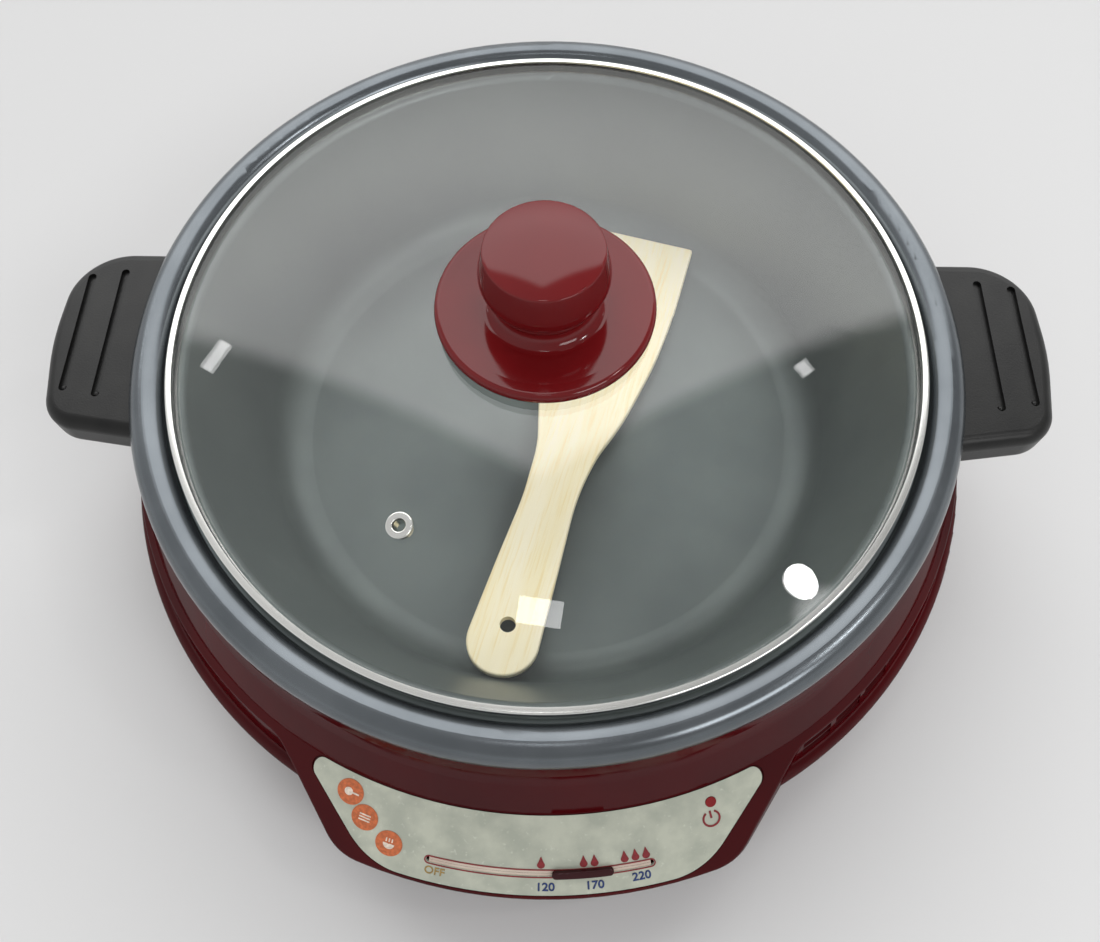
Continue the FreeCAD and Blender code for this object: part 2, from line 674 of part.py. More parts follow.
def make_knob_head():
    """Drum-shaped head with swelling sides, a spigot into the neck and a blind bore for its insert."""
    top = HEAD_Z + KNOB_HEAD_HEIGHT
    head = turned([
        (0, HEAD_Z - KNOB_SPIGOT, 0),
        (KNOB_SPIGOT_R, HEAD_Z - KNOB_SPIGOT, 0),
        (KNOB_SPIGOT_R, HEAD_Z + 0.05, 0),
        (KNOB_HEAD_FOOT_R, HEAD_Z + 0.05, 1.0),
        (KNOB_HEAD_R, HEAD_Z + KNOB_HEAD_SWELL_HEIGHT, KNOB_HEAD_SWELL_R),
        (KNOB_HEAD_TOP_R, top - 0.9, 1.0),
        (6.0, top, 30.0),
        (0, top, 0)])
    return head.cut(rod(INSERT_R + FIT, HEAD_Z - KNOB_SPIGOT - 1, HEAD_Z + INSERT_TOP + FIT))


INSERT_R = 4.2
INSERT_TOP = 9.0


def make_knob_insert():
    """Brass nut moulded into the head."""
    bore, low, high = KNOB_SCREW_R + 0.02, HEAD_Z - KNOB_SPIGOT + 0.4, HEAD_Z + INSERT_TOP
    return turned([(bore, low, 0), (INSERT_R, low, 0), (INSERT_R, HEAD_Z, 0),
                   (INSERT_R - 0.6, HEAD_Z + 0.8, 0), (INSERT_R, HEAD_Z + 1.6, 0),
                   (INSERT_R, high, 0), (bore, high, 0)])


def make_knob_gasket():
    return turned([(KNOB_HOLE_R + 0.4, CROWN_Z + 0.02, 0), (14.4, CROWN_Z + 0.02, 0),
                   (14.4, KNOB_Z - 0.02, 0), (KNOB_HOLE_R + 0.4, KNOB_Z - 0.02, 0)])


CUP_R = 12.0
CUP_SHEET = 1.0


def make_knob_cup():
    """Dished steel washer that spreads the screw's pull under the glass."""
    top = CROWN_Z - GLASS_THICKNESS - 0.1
    return turned([(KNOB_BORE_R, top - CUP_SHEET - 0.4, 0), (CUP_R - 3.0, top - CUP_SHEET - 0.4, 0),
                   (CUP_R, top - CUP_SHEET, 0), (CUP_R, top - 0.1, 0), (KNOB_BORE_R, top - 0.1, 0)])


def make_knob_screw():
    seat = CROWN_Z - GLASS_THICKNESS - 0.1 - CUP_SHEET - 0.45
    return pan_head_screw(Vector(0, 0, seat), UP, HEAD_Z + INSERT_TOP - 0.5 - seat, KNOB_SCREW_R, 5.0, 3.2)


# ---------------------------------------------------------------- the housing

UPPER_WALL_R = LIP_R + UPPER_WALL_OUT
UPPER_WALL_Z = LIP_Z - UPPER_WALL_DROP
UPPER_WALL_LEAN = (FACE_TOP_R - UPPER_WALL_R) / (UPPER_WALL_Z - FACE_TOP_Z)
ROOT_Z = LID_Z - RIDGE_ROOT_DROP
ROOT_R = FACE_TOP_R + (FACE_TOP_Z - ROOT_Z) * UPPER_WALL_LEAN


def ring_form():
    """The housing's round form without the ridge and the pod."""
    return turned([
        (0, TRAY_Z, 0),
        (SKIRT_R - SKIRT_DRAFT, TRAY_Z, SKIRT_FOOT_R),
        (SKIRT_R, PARTING_Z, 0),
        (SKIRT_R, SHOULDER_Z, SHOULDER_R),
        (CHANNEL_R, CHANNEL_Z, CHANNEL_CORNER_R),
        (ROOT_R, ROOT_Z, 0),
        (UPPER_WALL_R, UPPER_WALL_Z, UPPER_WALL_BEND_R),
        (LIP_R, LIP_Z, LIP_EDGE_R),
        (0, LIP_Z, 0),
    ])


def ring_room():
    """Space inside the round form, open at the top."""
    wall = HOUSING_WALL
    return turned([
        (0, TRAY_TOP_Z, 0),
        (SKIRT_R - SKIRT_DRAFT - wall, TRAY_TOP_Z, 2.0),
        (SKIRT_R - wall, PARTING_Z, 0),
        (SKIRT_R - wall, SHOULDER_Z - wall * 0.66, 2.6),
        (CHANNEL_R - wall * 0.8, CHANNEL_Z - wall * 0.75, CHANNEL_CORNER_R + wall),
        (ROOT_R - wall * 1.07, ROOT_Z, 0),
        (UPPER_WALL_R - wall, UPPER_WALL_Z, UPPER_WALL_BEND_R),
        (LIP_R - wall, LIP_Z, 0),
        (LIP_R - wall, LIP_Z + 4.0, 0),
        (0, LIP_Z + 4.0, 0),
    ])


def pod_wire(front_r, side, ring_r, corner_r, blend_r, z):
    """Plan of the pod: a front arc about the axis, two round corners, two side planes and two blends
    that run tangent into a circle of ring_r, whose arc round the back closes it."""
    angle = math.radians(POD_SIDE_ANGLE)
    normal = Vector(math.cos(angle), -math.sin(angle), 0)
    along = Vector(-math.sin(angle), -math.cos(angle), 0)
    lift = Vector(0, 0, z)
    reach = math.sqrt((front_r - corner_r) ** 2 - (side - corner_r) ** 2)
    corner_centre = normal * (side - corner_r) + along * reach
    front_end = corner_centre * (front_r / (front_r - corner_r))
    side_start = corner_centre + normal * corner_r
    corner_mid = corner_centre + (front_end - corner_centre + normal * corner_r).normalize() * corner_r
    reach = math.sqrt((ring_r + blend_r) ** 2 - (side + blend_r) ** 2)
    blend_centre = normal * (side + blend_r) + along * reach
    side_end = blend_centre - normal * blend_r
    ring_end = blend_centre * (ring_r / (ring_r + blend_r))
    blend_mid = blend_centre + (ring_end - blend_centre - normal * blend_r).normalize() * blend_r

    def left(p):
        return Vector(-p.x, p.y, 0)

    def arc(a, m, b):
        return Part.Arc(a + lift, m + lift, b + lift).toShape()

    def run(a, b):
        return Part.LineSegment(a + lift, b + lift).toShape()

    return Part.Wire([
        arc(left(front_end), Vector(0, -front_r, 0), front_end),
        arc(front_end, corner_mid, side_start),
        run(side_start, side_end),
        arc(side_end, blend_mid, ring_end),
        arc(ring_end, Vector(0, ring_r, 0), left(ring_end)),
        arc(left(ring_end), left(blend_mid), left(side_end)),
        run(left(side_end), left(side_start)),
        arc(left(side_start), left(corner_mid), left(front_end)),
    ])


def pod_level(wall, z):
    """The pod's plan at a height, inset by a wall. Its sides are straight from the seam up and down."""
    if z < PARTING_Z:
        share = (PARTING_Z - z) / (PARTING_Z - TRAY_Z)
        front_in, side_in = POD_FOOT_IN * share, POD_SIDE_FOOT_IN * share
    else:
        share = (z - PARTING_Z) / POD_CHEEK_HEIGHT
        front_in, side_in = 0.0, POD_CHEEK * share
    ring_r = FACE_TOP_R - wall * POD_ROOM_ROOT_IN if wall else RIDGE_R
    return pod_wire(POD_R - front_in - wall, POD_SIDE - side_in - wall, ring_r, POD_CORNER_R - wall,
                    POD_BLEND_R + wall, z)


def face_z(r, above=0.0):
    """Height of the pod's face at a radius, or of the cone that lies above it, square to it."""
    return FACE_TOP_Z - (r - FACE_TOP_R) * FACE_DROP + above / math.cos(math.radians(FACE_SLOPE))


def under_face(above):
    """Everything under the cone of the pod's face, raised or lowered square to itself."""
    top_r = FACE_TOP_R - 6.0
    foot_r = FACE_TOP_R + face_z(FACE_TOP_R, above) / FACE_DROP
    return turned([(0, 0, 0), (foot_r, 0, 0), (top_r, face_z(top_r, above), 0), (0, face_z(top_r, above), 0)])


def ruled(wires):
    return Part.makeLoft(wires, True, True)


def pod_room():
    """The control pod inset by its wall, up to the underside of its face."""
    wall = HOUSING_WALL
    low = ruled([pod_level(wall, TRAY_Z + wall), pod_level(wall, PARTING_Z)])
    high = ruled([pod_level(wall, PARTING_Z), pod_level(wall, FACE_TOP_Z + 4.0)])
    return low.fuse(high.common(under_face(-wall)))


def pod_form():
    """Control pod and ridge: the ridge's cone runs on as the pod's face, and their crest is one line.
    The pod's walls lean in from the seam both ways."""
    foot = ruled([pod_level(0, TRAY_Z), pod_level(0, PARTING_Z)])
    foot = foot.makeFillet(POD_FOOT_EDGE_R, foot_edges(foot))
    crest = ruled([pod_level(0, PARTING_Z), pod_level(0, FACE_TOP_Z + 9.0)]).common(under_face(0))
    crest = crest.makeFillet(POD_EDGE_R, crest_edges(crest))
    return [foot, crest]


def crest_edges(crest):
    """Edges where the pod's and the ridge's sides meet their cone."""
    inside = (FACE_TOP_R + RIDGE_R) / 2
    edges = []
    for edge in crest.Edges:
        point = edge.valueAt((edge.FirstParameter + edge.LastParameter) / 2)
        r = math.hypot(point.x, point.y)
        on_face = abs(point.z - face_z(r)) < 0.05
        if on_face and r > inside and edge.BoundBox.DiagonalLength > 1.0:
            edges.append(edge)
    return edges


def foot_edges(pod):
    """Curved edges of the pod's underside."""
    return [e for e in pod.Edges
            if e.BoundBox.ZMax < TRAY_Z + 0.01 and e.BoundBox.YMin < -SKIRT_R * 0.55 and e.Length < 500.0
            and not (e.BoundBox.YLength < 0.01)]


def panel_prism(grow, z_low, z_high):
    """Upright prism on the panel's outline: two arcs about the pot's axis, two side edges, round corners."""
    outer_r = POD_R - PANEL_MARGIN + grow
    inner_r = FACE_TOP_R + PANEL_TOP_MARGIN - grow
    block = rod(outer_r, z_low, z_high).cut(rod(inner_r, z_low - 1, z_high + 1))
    side = POD_SIDE - PANEL_SIDE_MARGIN + grow
    beyond = box_between((side, -WEDGE_FAR, z_low - 1), (WEDGE_FAR, WEDGE_FAR, z_high + 1))
    for angle in (-POD_SIDE_ANGLE, 180.0 + POD_SIDE_ANGLE):
        block = block.cut(beyond.rotated(ORIGIN, UP, angle))
    front = box_between((-WEDGE_FAR, -WEDGE_FAR, z_low - 1), (WEDGE_FAR, -FACE_TOP_R / 2, z_high + 1))
    block = block.common(front)
    for radius, ring_r in ((PANEL_CORNER_R, outer_r), (PANEL_TOP_CORNER_R, inner_r)):
        corners = [e for e in block.Edges
                   if abs(e.BoundBox.ZLength - (z_high - z_low)) < 1e-3
                   and abs(math.hypot(e.Vertexes[0].X, e.Vertexes[0].Y) - ring_r) < 0.05]
        block = block.makeFillet(radius, corners)
    return block


def face_slab(low, high):
    """The layer between two cones over the pod's face."""
    r_in, r_out = FACE_TOP_R - 4.0, POD_R + 6.0
    return turned([(r_in, face_z(r_in, low), 0), (r_out, face_z(r_out, low), 0),
                   (r_out, face_z(r_out, high), 0), (r_in, face_z(r_in, high), 0)])


def slot_cutter(width, start, end, low, high, top_r=0):
    """A round-ended bar along the slider's arc, square to the pod's face, between two heights over it."""
    r = SLOT_R
    slope = math.radians(FACE_SLOPE)
    dr, dz = math.cos(slope) * width / 2, -math.sin(slope) * width / 2
    out_r, out_z = math.sin(slope), math.cos(slope)
    section = [(r + side * dr + out_r * height, face_z(r) + side * dz + out_z * height, corner_r)
               for side, height, corner_r in ((-1, low, 0), (1, low, 0), (1, high, top_r), (-1, high, top_r))]
    body = turned(section, end - start, start - 90.0)
    caps = [face_rod(r, azimuth, width / 2, low, high, top_r) for azimuth in (start, end)]
    return fused([body] + caps)


def face_normal(azimuth):
    slope = math.radians(FACE_SLOPE)
    return polar(math.sin(slope), azimuth - 90.0) + UP * math.cos(slope)


def face_point(r, azimuth, above):
    """A point over the pod's face at a radius and an angle from the front."""
    return polar(r, azimuth - 90.0, face_z(r)) + face_normal(azimuth) * above


def face_rod(r, azimuth, radius, low, high, top_r=0):
    """A cylinder square to the pod's face at a radius and an angle from the front."""
    normal = face_normal(azimuth)
    base = face_point(r, azimuth, low)
    if not top_r:
        return Part.makeCylinder(radius, high - low, base, normal)
    upright = turned([(0, 0, 0), (radius, 0, 0), (radius, high - low, top_r), (0, high - low, 0)])
    upright.Placement = FreeCAD.Placement(base, FreeCAD.Rotation(UP, normal))
    return upright


def side_vents():
    """Two rows of vent slots in the sloping wall below the ridge, beside the pod on its right."""
    near, far = CHANNEL_R - VENT_CUT_DEPTH, SKIRT_R
    slots = []
    for row, drop in enumerate(VENT_ROWS):
        high = LID_Z - drop
        low = high - VENT_SLOT_HEIGHT
        for i in range(VENT_COUNT - row):
            start = VENT_FIRST_AZIMUTH + i * VENT_PITCH
            slots.append(turned([(near, low, 0), (far, low, 0), (far, high, 0), (near, high, 0)],
                                VENT_PITCH - VENT_BAR, start))
    return slots


def inlet_block(inset, y_near, y_far):
    """Block behind the pot that carries the inlet: a rounded rectangle along Y, inset on all sides."""
    half_w = INLET_FLANGE_HALF_WIDTH + INLET_BOX_MARGIN - inset
    half_h = INLET_HALF_HEIGHT + 3.0 + INLET_BOX_MARGIN - inset
    radius = 5.0 - inset * 0.8
    corners = [(-half_w, INLET_Z - half_h, radius), (half_w, INLET_Z - half_h, radius),
               (half_w, INLET_Z + half_h, radius), (-half_w, INLET_Z + half_h, radius)]
    wire = corner_wire(corners, lambda p: Vector(p.x, y_near, p.y))
    return Part.Face(wire).extrude(Vector(0, y_far - y_near, 0))


def pillars(radius, pitch_r, azimuths, z_low, z_high):
    """Upright cylinders on a pitch circle."""
    return [rod(radius, z_low, z_high, *polar(pitch_r, a)[:2]) for a in azimuths]


def make_housing_shell():
    """The moulded form hollowed to its wall, before it is split at the seam."""
    inlet_face = POD_R - INLET_FLANGE
    outer = ring_form().fuse(pod_form() + [inlet_block(0, INLET_BLOCK_START, inlet_face)])
    inlet_room = inlet_block(HOUSING_WALL, INLET_BLOCK_START - 10.0, inlet_face - HOUSING_WALL)
    room = ring_room().fuse([pod_room(), inlet_room])
    return outer.cut(room)


def make_upper_housing(shell):
    upper = shell.common(box_between((-WEDGE_FAR, -WEDGE_FAR, PARTING_Z), (WEDGE_FAR, WEDGE_FAR, LID_Z)))
    web = turned([(WEB_INNER_R, WEB_Z - WEB_THICKNESS, 0), (LIP_R + 4.5, WEB_Z - WEB_THICKNESS, 0),
                  (LIP_R + 4.5, WEB_Z, 0), (WEB_INNER_R, WEB_Z, 0)])
    bosses = pillars(BOSS_R, BOSS_PITCH_R, BOSS_AZIMUTHS, BOSS_JOIN_Z, WEB_Z - 1.0)
    upper = upper.fuse([web] + bosses)
    recess = face_slab(-PANEL_RECESS, 12.0).common(panel_prism(PANEL_PLAY, 20.0, 100.0))
    recess = recess.cut(rod(FACE_TOP_R + PANEL_TOP_MARGIN - PANEL_PLAY, 20.0, 100.0))
    cuts = [recess, slot_cutter(SLOT_WIDTH, SLOT_START, SLOT_END, -8.0, 8.0)]
    cuts += side_vents()
    cuts.append(face_rod(LENS_PITCH_R, LENS_AZIMUTH, LENS_R + FIT, -10.0, 4.0))
    screw_end = TRAY_Z + SCREW_DEPTH + SCREW_LENGTH
    cuts += pillars(SCREW_R, BOSS_PITCH_R, BOSS_AZIMUTHS, BOSS_JOIN_Z - 1, screw_end)
    cuts += pillars(REFLECTOR_SCREW_BORE_R, REFLECTOR_SCREW_R, REFLECTOR_SCREW_AZIMUTHS,
                    WEB_Z - WEB_THICKNESS - 1, WEB_Z + 1)
    notch_half = HANDLE_HALF_WIDTH + NOTCH_CLEARANCE
    cuts.append(box_between((-WEDGE_FAR, -notch_half, HANDLE_UNDER_Z - NOTCH_BELOW_HANDLE),
                            (WEDGE_FAR, notch_half, LID_Z)))
    cuts += [face_rod(SLOT_R, azimuth, GUIDE_SCREW_BORE_R, -HOUSING_WALL - 3.0, -PANEL_RECESS - 0.6)
             for azimuth in GUIDE_STUDS]
    return upper.cut(cuts)


def make_lower_housing(shell):
    lower = shell.common(box_between((-WEDGE_FAR, -WEDGE_FAR, 0), (WEDGE_FAR, WEDGE_FAR, PARTING_Z - SEAM)))
    posts = pillars(POST_BOSS_R, POST_PITCH_R, POST_AZIMUTHS, TRAY_TOP_Z - 1.0, REFLECTOR_Z)
    bosses = pillars(BOSS_R + 1.5, BOSS_PITCH_R, BOSS_AZIMUTHS, TRAY_TOP_Z - 1.0, BOSS_JOIN_Z)
    seats = pillars(FOOT_R + 2.0, FOOT_PITCH_R, FOOT_AZIMUTHS, TRAY_TOP_Z - 1.0, TRAY_TOP_Z + 1.4)
    lower = lower.fuse(posts + bosses + seats)
    cuts = pillars(SCREW_HEAD_R + 0.4, BOSS_PITCH_R, BOSS_AZIMUTHS, TRAY_Z - 1, TRAY_Z + SCREW_DEPTH)
    cuts += pillars(SCREW_R, BOSS_PITCH_R, BOSS_AZIMUTHS, TRAY_Z, PARTING_Z)
    cuts += pillars(SCREW_HEAD_R + 0.4, POST_PITCH_R, POST_AZIMUTHS, TRAY_Z - 1, POST_SCREW_SEAT_Z)
    cuts += pillars(SCREW_R, POST_PITCH_R, POST_AZIMUTHS, TRAY_Z, REFLECTOR_Z + 1)
    cuts += pillars(FOOT_R + FIT, FOOT_PITCH_R, FOOT_AZIMUTHS, TRAY_Z - 1, TRAY_Z + FOOT_SEAT)
    cuts += pillars(FOOT_PLUG_R, FOOT_PITCH_R, FOOT_AZIMUTHS, TRAY_Z - 1, TRAY_TOP_Z + 3)
    cuts += floor_vents()
    face = POD_R - INLET_FLANGE
    cuts.append(box_between((-INLET_HALF_WIDTH - FIT, face - 10, INLET_Z - INLET_HALF_HEIGHT - FIT),
                            (INLET_HALF_WIDTH + FIT, face + 5, INLET_Z + INLET_HALF_HEIGHT + FIT)))
    for side in (-1, 1):
        start = Vector(side * INLET_SCREW_PITCH, face - 11, INLET_Z)
        cuts.append(Part.makeCylinder(INLET_SCREW_BORE_R, 12, start, Vector(0, 1, 0)))
    return lower.cut(cuts)


def floor_vents():
    """Rings of short curved vent slots in the tray's floor."""
    cuts = []
    low, high = TRAY_Z - 1, TRAY_TOP_Z + 1
    for r, count in FLOOR_VENT_RINGS:
        pitch = 360.0 / count
        near, far = r - FLOOR_VENT_WIDTH / 2, r + FLOOR_VENT_WIDTH / 2
        for i in range(count):
            slot = [(near, low, 0), (far, low, 0), (far, high, 0), (near, high, 0)]
            cuts.append(turned(slot, pitch * FLOOR_VENT_SHARE, i * pitch))
    return cuts


# ---------------------------------------------------------------- panel, lamp and slider

PANEL_LOW = -PANEL_RECESS + 0.04
PANEL_HIGH = PANEL_LOW + PANEL_THICKNESS


def make_control_panel():
    panel = face_slab(PANEL_LOW, PANEL_HIGH).common(panel_prism(0.0, 20.0, 100.0))
    panel = panel.cut(slot_cutter(SLOT_WIDTH, SLOT_START, SLOT_END, -8.0, 8.0))
    return panel.cut(face_rod(LENS_PITCH_R, LENS_AZIMUTH, LENS_R + FIT, -10.0, 6.0))


def make_pilot_lens():
    """Clear rod with a shoulder behind the pod's skin."""
    low = -HOUSING_WALL - LENS_DEPTH
    shank = face_rod(LENS_PITCH_R, LENS_AZIMUTH, LENS_R, low, PANEL_HIGH + 0.3)
    shoulder = face_rod(LENS_PITCH_R, LENS_AZIMUTH, LENS_R + 1.5, low, -HOUSING_WALL - FIT)
    return fused([shank, shoulder])


def make_pilot_lamp():
    """Neon lamp in its sleeve behind the lens."""
    high = -HOUSING_WALL - LENS_DEPTH - FIT
    return face_rod(LENS_PITCH_R, LENS_AZIMUTH, LAMP_R, high - LAMP_LENGTH, high)


def lever_section():
    """The lever blade's bend below the slot and its tip over the panel, as (radius, height)."""
    slope = math.radians(FACE_SLOPE)
    out_r, out_z = math.sin(slope), math.cos(slope)
    low, high = -LEVER_RISE_BACK, PANEL_HIGH + SLIDER_GAP + SLIDER_HEIGHT * BLADE_IN_SLIDER
    return [(SLOT_R + out_r * h, face_z(SLOT_R) + out_z * h) for h in (low, high)]


def at_rest(shape):
    """Turns a shape made towards -Y to the slider's resting place."""
    return shape.rotated(ORIGIN, UP, LEVER_REST)


def make_lever_arm():
    """Steel strip from the thermostat's shaft out under the reflector, up and out through the slot."""
    bend, top = lever_section()
    slope = math.radians(FACE_SLOPE)
    half_r, half_z = math.cos(slope) * LEVER_STRIP / 2, math.sin(slope) * LEVER_STRIP / 2
    path = [
        (0, LEVER_Z + LEVER_STRIP, 0),
        (bend[0] - half_r, LEVER_Z + LEVER_STRIP, 2.0),
        (bend[0] - half_r, bend[1], 4.0),
        (top[0] - half_r, top[1] + half_z, 0),
    ]
    section = corner_wire(sheet_corners(path, LEVER_STRIP), lambda p: Vector(-LEVER_WIDTH / 2, -p.x, p.y))
    arm = Part.Face(section).extrude(Vector(LEVER_WIDTH, 0, 0))
    narrow_z = bend[1] + 2.0
    for side in (-1, 1):
        near, far = sorted((side * LEVER_BLADE_WIDTH / 2, side * LEVER_WIDTH))
        arm = arm.cut(box_between((near, -WEDGE_FAR, narrow_z), (far, 0, WEDGE_FAR)))
    hub = rod(LEVER_HUB_R, LEVER_Z, LEVER_Z + LEVER_STRIP)
    arm = fused([arm, hub]).cut(shaft_form(0.03, LEVER_Z - 1, LEVER_Z + LEVER_STRIP + 1))
    return at_rest(arm)


def shaft_form(grow, z_low, z_high):
    """The thermostat shaft's D section."""
    shaft = rod(SHAFT_R + grow, z_low, z_high)
    flat = box_between((SHAFT_R * 0.55 + grow, -10, z_low - 1), (20, 10, z_high + 1))
    return shaft.cut(flat)


def make_thermostat_shaft():
    """Shaft with a flat for the lever, a round journal and a collar inside the thermostat."""
    flat_top = LEVER_Z + LEVER_STRIP + 2.5
    low = THERMOSTAT_LOW_Z
    shaft = fused([shaft_form(0, LEVER_Z - 1.4, flat_top), rod(SHAFT_R, flat_top, low + 8.0),
                   rod(SHAFT_R + 1.6, low + 7.4, low + 9.4)])
    return at_rest(shaft)


def make_lever_clip():
    """Retaining ring on the shaft's end, under the lever."""
    ring = turned([(SHAFT_R + 0.05, LEVER_Z - 1.0, 0), (6.0, LEVER_Z - 1.0, 0), (6.0, LEVER_Z - 0.1, 0),
                   (SHAFT_R + 0.05, LEVER_Z - 0.1, 0)])
    return at_rest(ring.cut(box_between((-12, -1.2, 0), (0, 1.2, LEVER_Z))))


def make_slider_knob():
    """Low curved grip that rides over the slot, pressed on the lever's blade."""
    low = PANEL_HIGH + SLIDER_GAP
    high = low + SLIDER_HEIGHT
    body = slot_cutter(SLIDER_WIDTH, -SLIDER_HALF_SPAN, SLIDER_HALF_SPAN, low, high, SLIDER_EDGE_R)
    half_angle = math.degrees(LEVER_BLADE_WIDTH / 2 / SLOT_R)
    roof = low + SLIDER_HEIGHT * BLADE_IN_SLIDER + FIT
    pocket = slot_cutter(LEVER_STRIP + FIT, -half_angle, half_angle, low - 1.0, roof)
    return at_rest(body.cut(pocket))


def make_lever_guide():
    """Plastic track under the pod's skin that keeps the lever's blade in line, on two studs."""
    high = -HOUSING_WALL - GUIDE_GAP
    low = high - GUIDE_PLATE
    plate = slot_cutter(GUIDE_WIDTH, GUIDE_STUDS[0], GUIDE_STUDS[1], low, high)
    plate = plate.cut(slot_cutter(SLOT_WIDTH, SLOT_START, SLOT_END, low - 2, high + 2))
    studs = [face_rod(SLOT_R, a, GUIDE_STUD_R, high - 0.5, high + GUIDE_GAP - FIT) for a in GUIDE_STUDS]
    bore_r = GUIDE_SCREW_BORE_R + FIT
    bores = [face_rod(SLOT_R, a, bore_r, low - 1, high + GUIDE_GAP) for a in GUIDE_STUDS]
    return fused([plate] + studs).cut(bores)


def make_guide_screws():
    """Screws that hold the lever guide, driven up from below."""
    depth = HOUSING_WALL + GUIDE_GAP + GUIDE_PLATE + FIT
    return [pan_head_screw(face_point(SLOT_R, a, -depth), face_normal(a), GUIDE_PLATE + GUIDE_GAP + 1.0,
                           GUIDE_SCREW_BORE_R - 0.02, 2.4, 1.6) for a in GUIDE_STUDS]


# ---------------------------------------------------------------- heating plate and electrics

THERMOSTAT_HIGH_Z = PLATE_UNDER_Z - BRACKET_STRIP
THERMOSTAT_LOW_Z = THERMOSTAT_HIGH_Z - THERMOSTAT_HEIGHT
ELEMENT_Z = PLATE_UNDER_Z - ELEMENT_BOSS_DROP + ELEMENT_R * 0.7


def make_heating_plate():
    """Die-cast plate: a ring boss under it holds the element, and three pads take the posts' screws."""
    boss_low = PLATE_UNDER_Z - ELEMENT_BOSS_DROP
    half = ELEMENT_BOSS_WIDTH / 2
    plate = turned([
        (0, PLATE_UNDER_Z, 0),
        (ELEMENT_RING_R - half - 1, PLATE_UNDER_Z, 0),
        (ELEMENT_RING_R - half, boss_low, 0),
        (ELEMENT_RING_R + half, boss_low, 0),
        (ELEMENT_RING_R + half + 1, PLATE_UNDER_Z, 0),
        (PLATE_R - 1.5, PLATE_UNDER_Z, 0),
        (PLATE_R, PLATE_UNDER_Z + 1.5, 0),
        (PLATE_R, PLATE_TOP_Z, 1.2),
        (0, PLATE_TOP_Z, 0)])
    cuts = [Part.makeTorus(ELEMENT_RING_R, ELEMENT_R + 1.5 * FIT, Vector(0, 0, ELEMENT_Z), UP)]
    cuts += [rod(ELEMENT_R + FIT, boss_low - 1, ELEMENT_Z, end.x, end.y) for end in element_ends()]
    for azimuth in POST_AZIMUTHS:
        cuts.append(rod(SCREW_R, PLATE_UNDER_Z - 1, PLATE_UNDER_Z + 6.5, *polar(POST_PITCH_R, azimuth)[:2]))
    for x in thermostat_screw_places():
        cuts.append(rod(THERMOSTAT_SCREW_R + 0.02, PLATE_UNDER_Z - 1, PLATE_UNDER_Z + 5.5, x))
    return plate.cut(cuts)


def element_ends():
    half = ELEMENT_GAP_ANGLE / 2
    return [polar(ELEMENT_RING_R, azimuth, ELEMENT_Z) for azimuth in (90.0 - half, 90.0 + half)]


def make_heating_element():
    """Sheathed element bent to a ring, with two cold ends turned down."""
    ring = Part.makeTorus(ELEMENT_RING_R, ELEMENT_R, ORIGIN, UP, 0, 360, 360 - ELEMENT_GAP_ANGLE)
    ring = ring.rotated(ORIGIN, UP, 90 + ELEMENT_GAP_ANGLE / 2).translated(Vector(0, 0, ELEMENT_Z))
    legs = []
    for end in element_ends():
        legs.append(Part.makeSphere(ELEMENT_R, end))
        legs.append(rod(ELEMENT_R, ELEMENT_Z - COLD_END_DROP, ELEMENT_Z, end.x, end.y))
    return fused([ring] + legs)


def make_element_terminals():
    """Ceramic collar and spade on each cold end."""
    pieces = []
    high = ELEMENT_Z - COLD_END_DROP
    mid, low = high - COLLAR_HEIGHT, high - COLLAR_HEIGHT - SPADE_LENGTH
    for end in element_ends():
        collar = rod(COLLAR_R, mid, high, end.x, end.y)
        spade = box_between((end.x - SPADE_SHEET / 2, end.y - COLLAR_HEIGHT, low),
                            (end.x + SPADE_SHEET / 2, end.y + COLLAR_HEIGHT, mid))
        pieces.append(fused([collar, spade]))
    return pieces


def make_plate_posts():
    low = REFLECTOR_Z + REFLECTOR_SHEET
    posts = []
    for azimuth in POST_AZIMUTHS:
        x, y = polar(POST_PITCH_R, azimuth)[:2]
        bore = rod(SCREW_R + FIT, low - 1, PLATE_UNDER_Z + 1, x, y)
        posts.append(rod(POST_R, low, PLATE_UNDER_Z, x, y).cut(bore))
    return posts


def make_plate_screws():
    screws = []
    for azimuth in POST_AZIMUTHS:
        seat = polar(POST_PITCH_R, azimuth, POST_SCREW_SEAT_Z)
        screws.append(pan_head_screw(seat, UP, PLATE_UNDER_Z + 6.0 - POST_SCREW_SEAT_Z, SCREW_R - 0.02))
    return screws


def make_thermostat_bracket():
    half, side = THERMOSTAT_BRACKET_HALF_LENGTH, THERMOSTAT_BRACKET_HALF_WIDTH
    strip = box_between((-half, -side, THERMOSTAT_HIGH_Z), (half, side, PLATE_UNDER_Z))
    for x in thermostat_screw_places():
        strip = strip.cut(rod(THERMOSTAT_SCREW_R + 0.12, THERMOSTAT_HIGH_Z - 1, PLATE_UNDER_Z + 1, x))
    return strip


def thermostat_screw_places():
    x = THERMOSTAT_BRACKET_HALF_LENGTH - THERMOSTAT_SCREW_INSET
    return (-x, x)


def make_thermostat_screws():
    length = BRACKET_STRIP + 5.0
    return [pan_head_screw(Vector(x, 0, THERMOSTAT_HIGH_Z), UP, length, THERMOSTAT_SCREW_R, 2.8, 1.8)
            for x in thermostat_screw_places()]


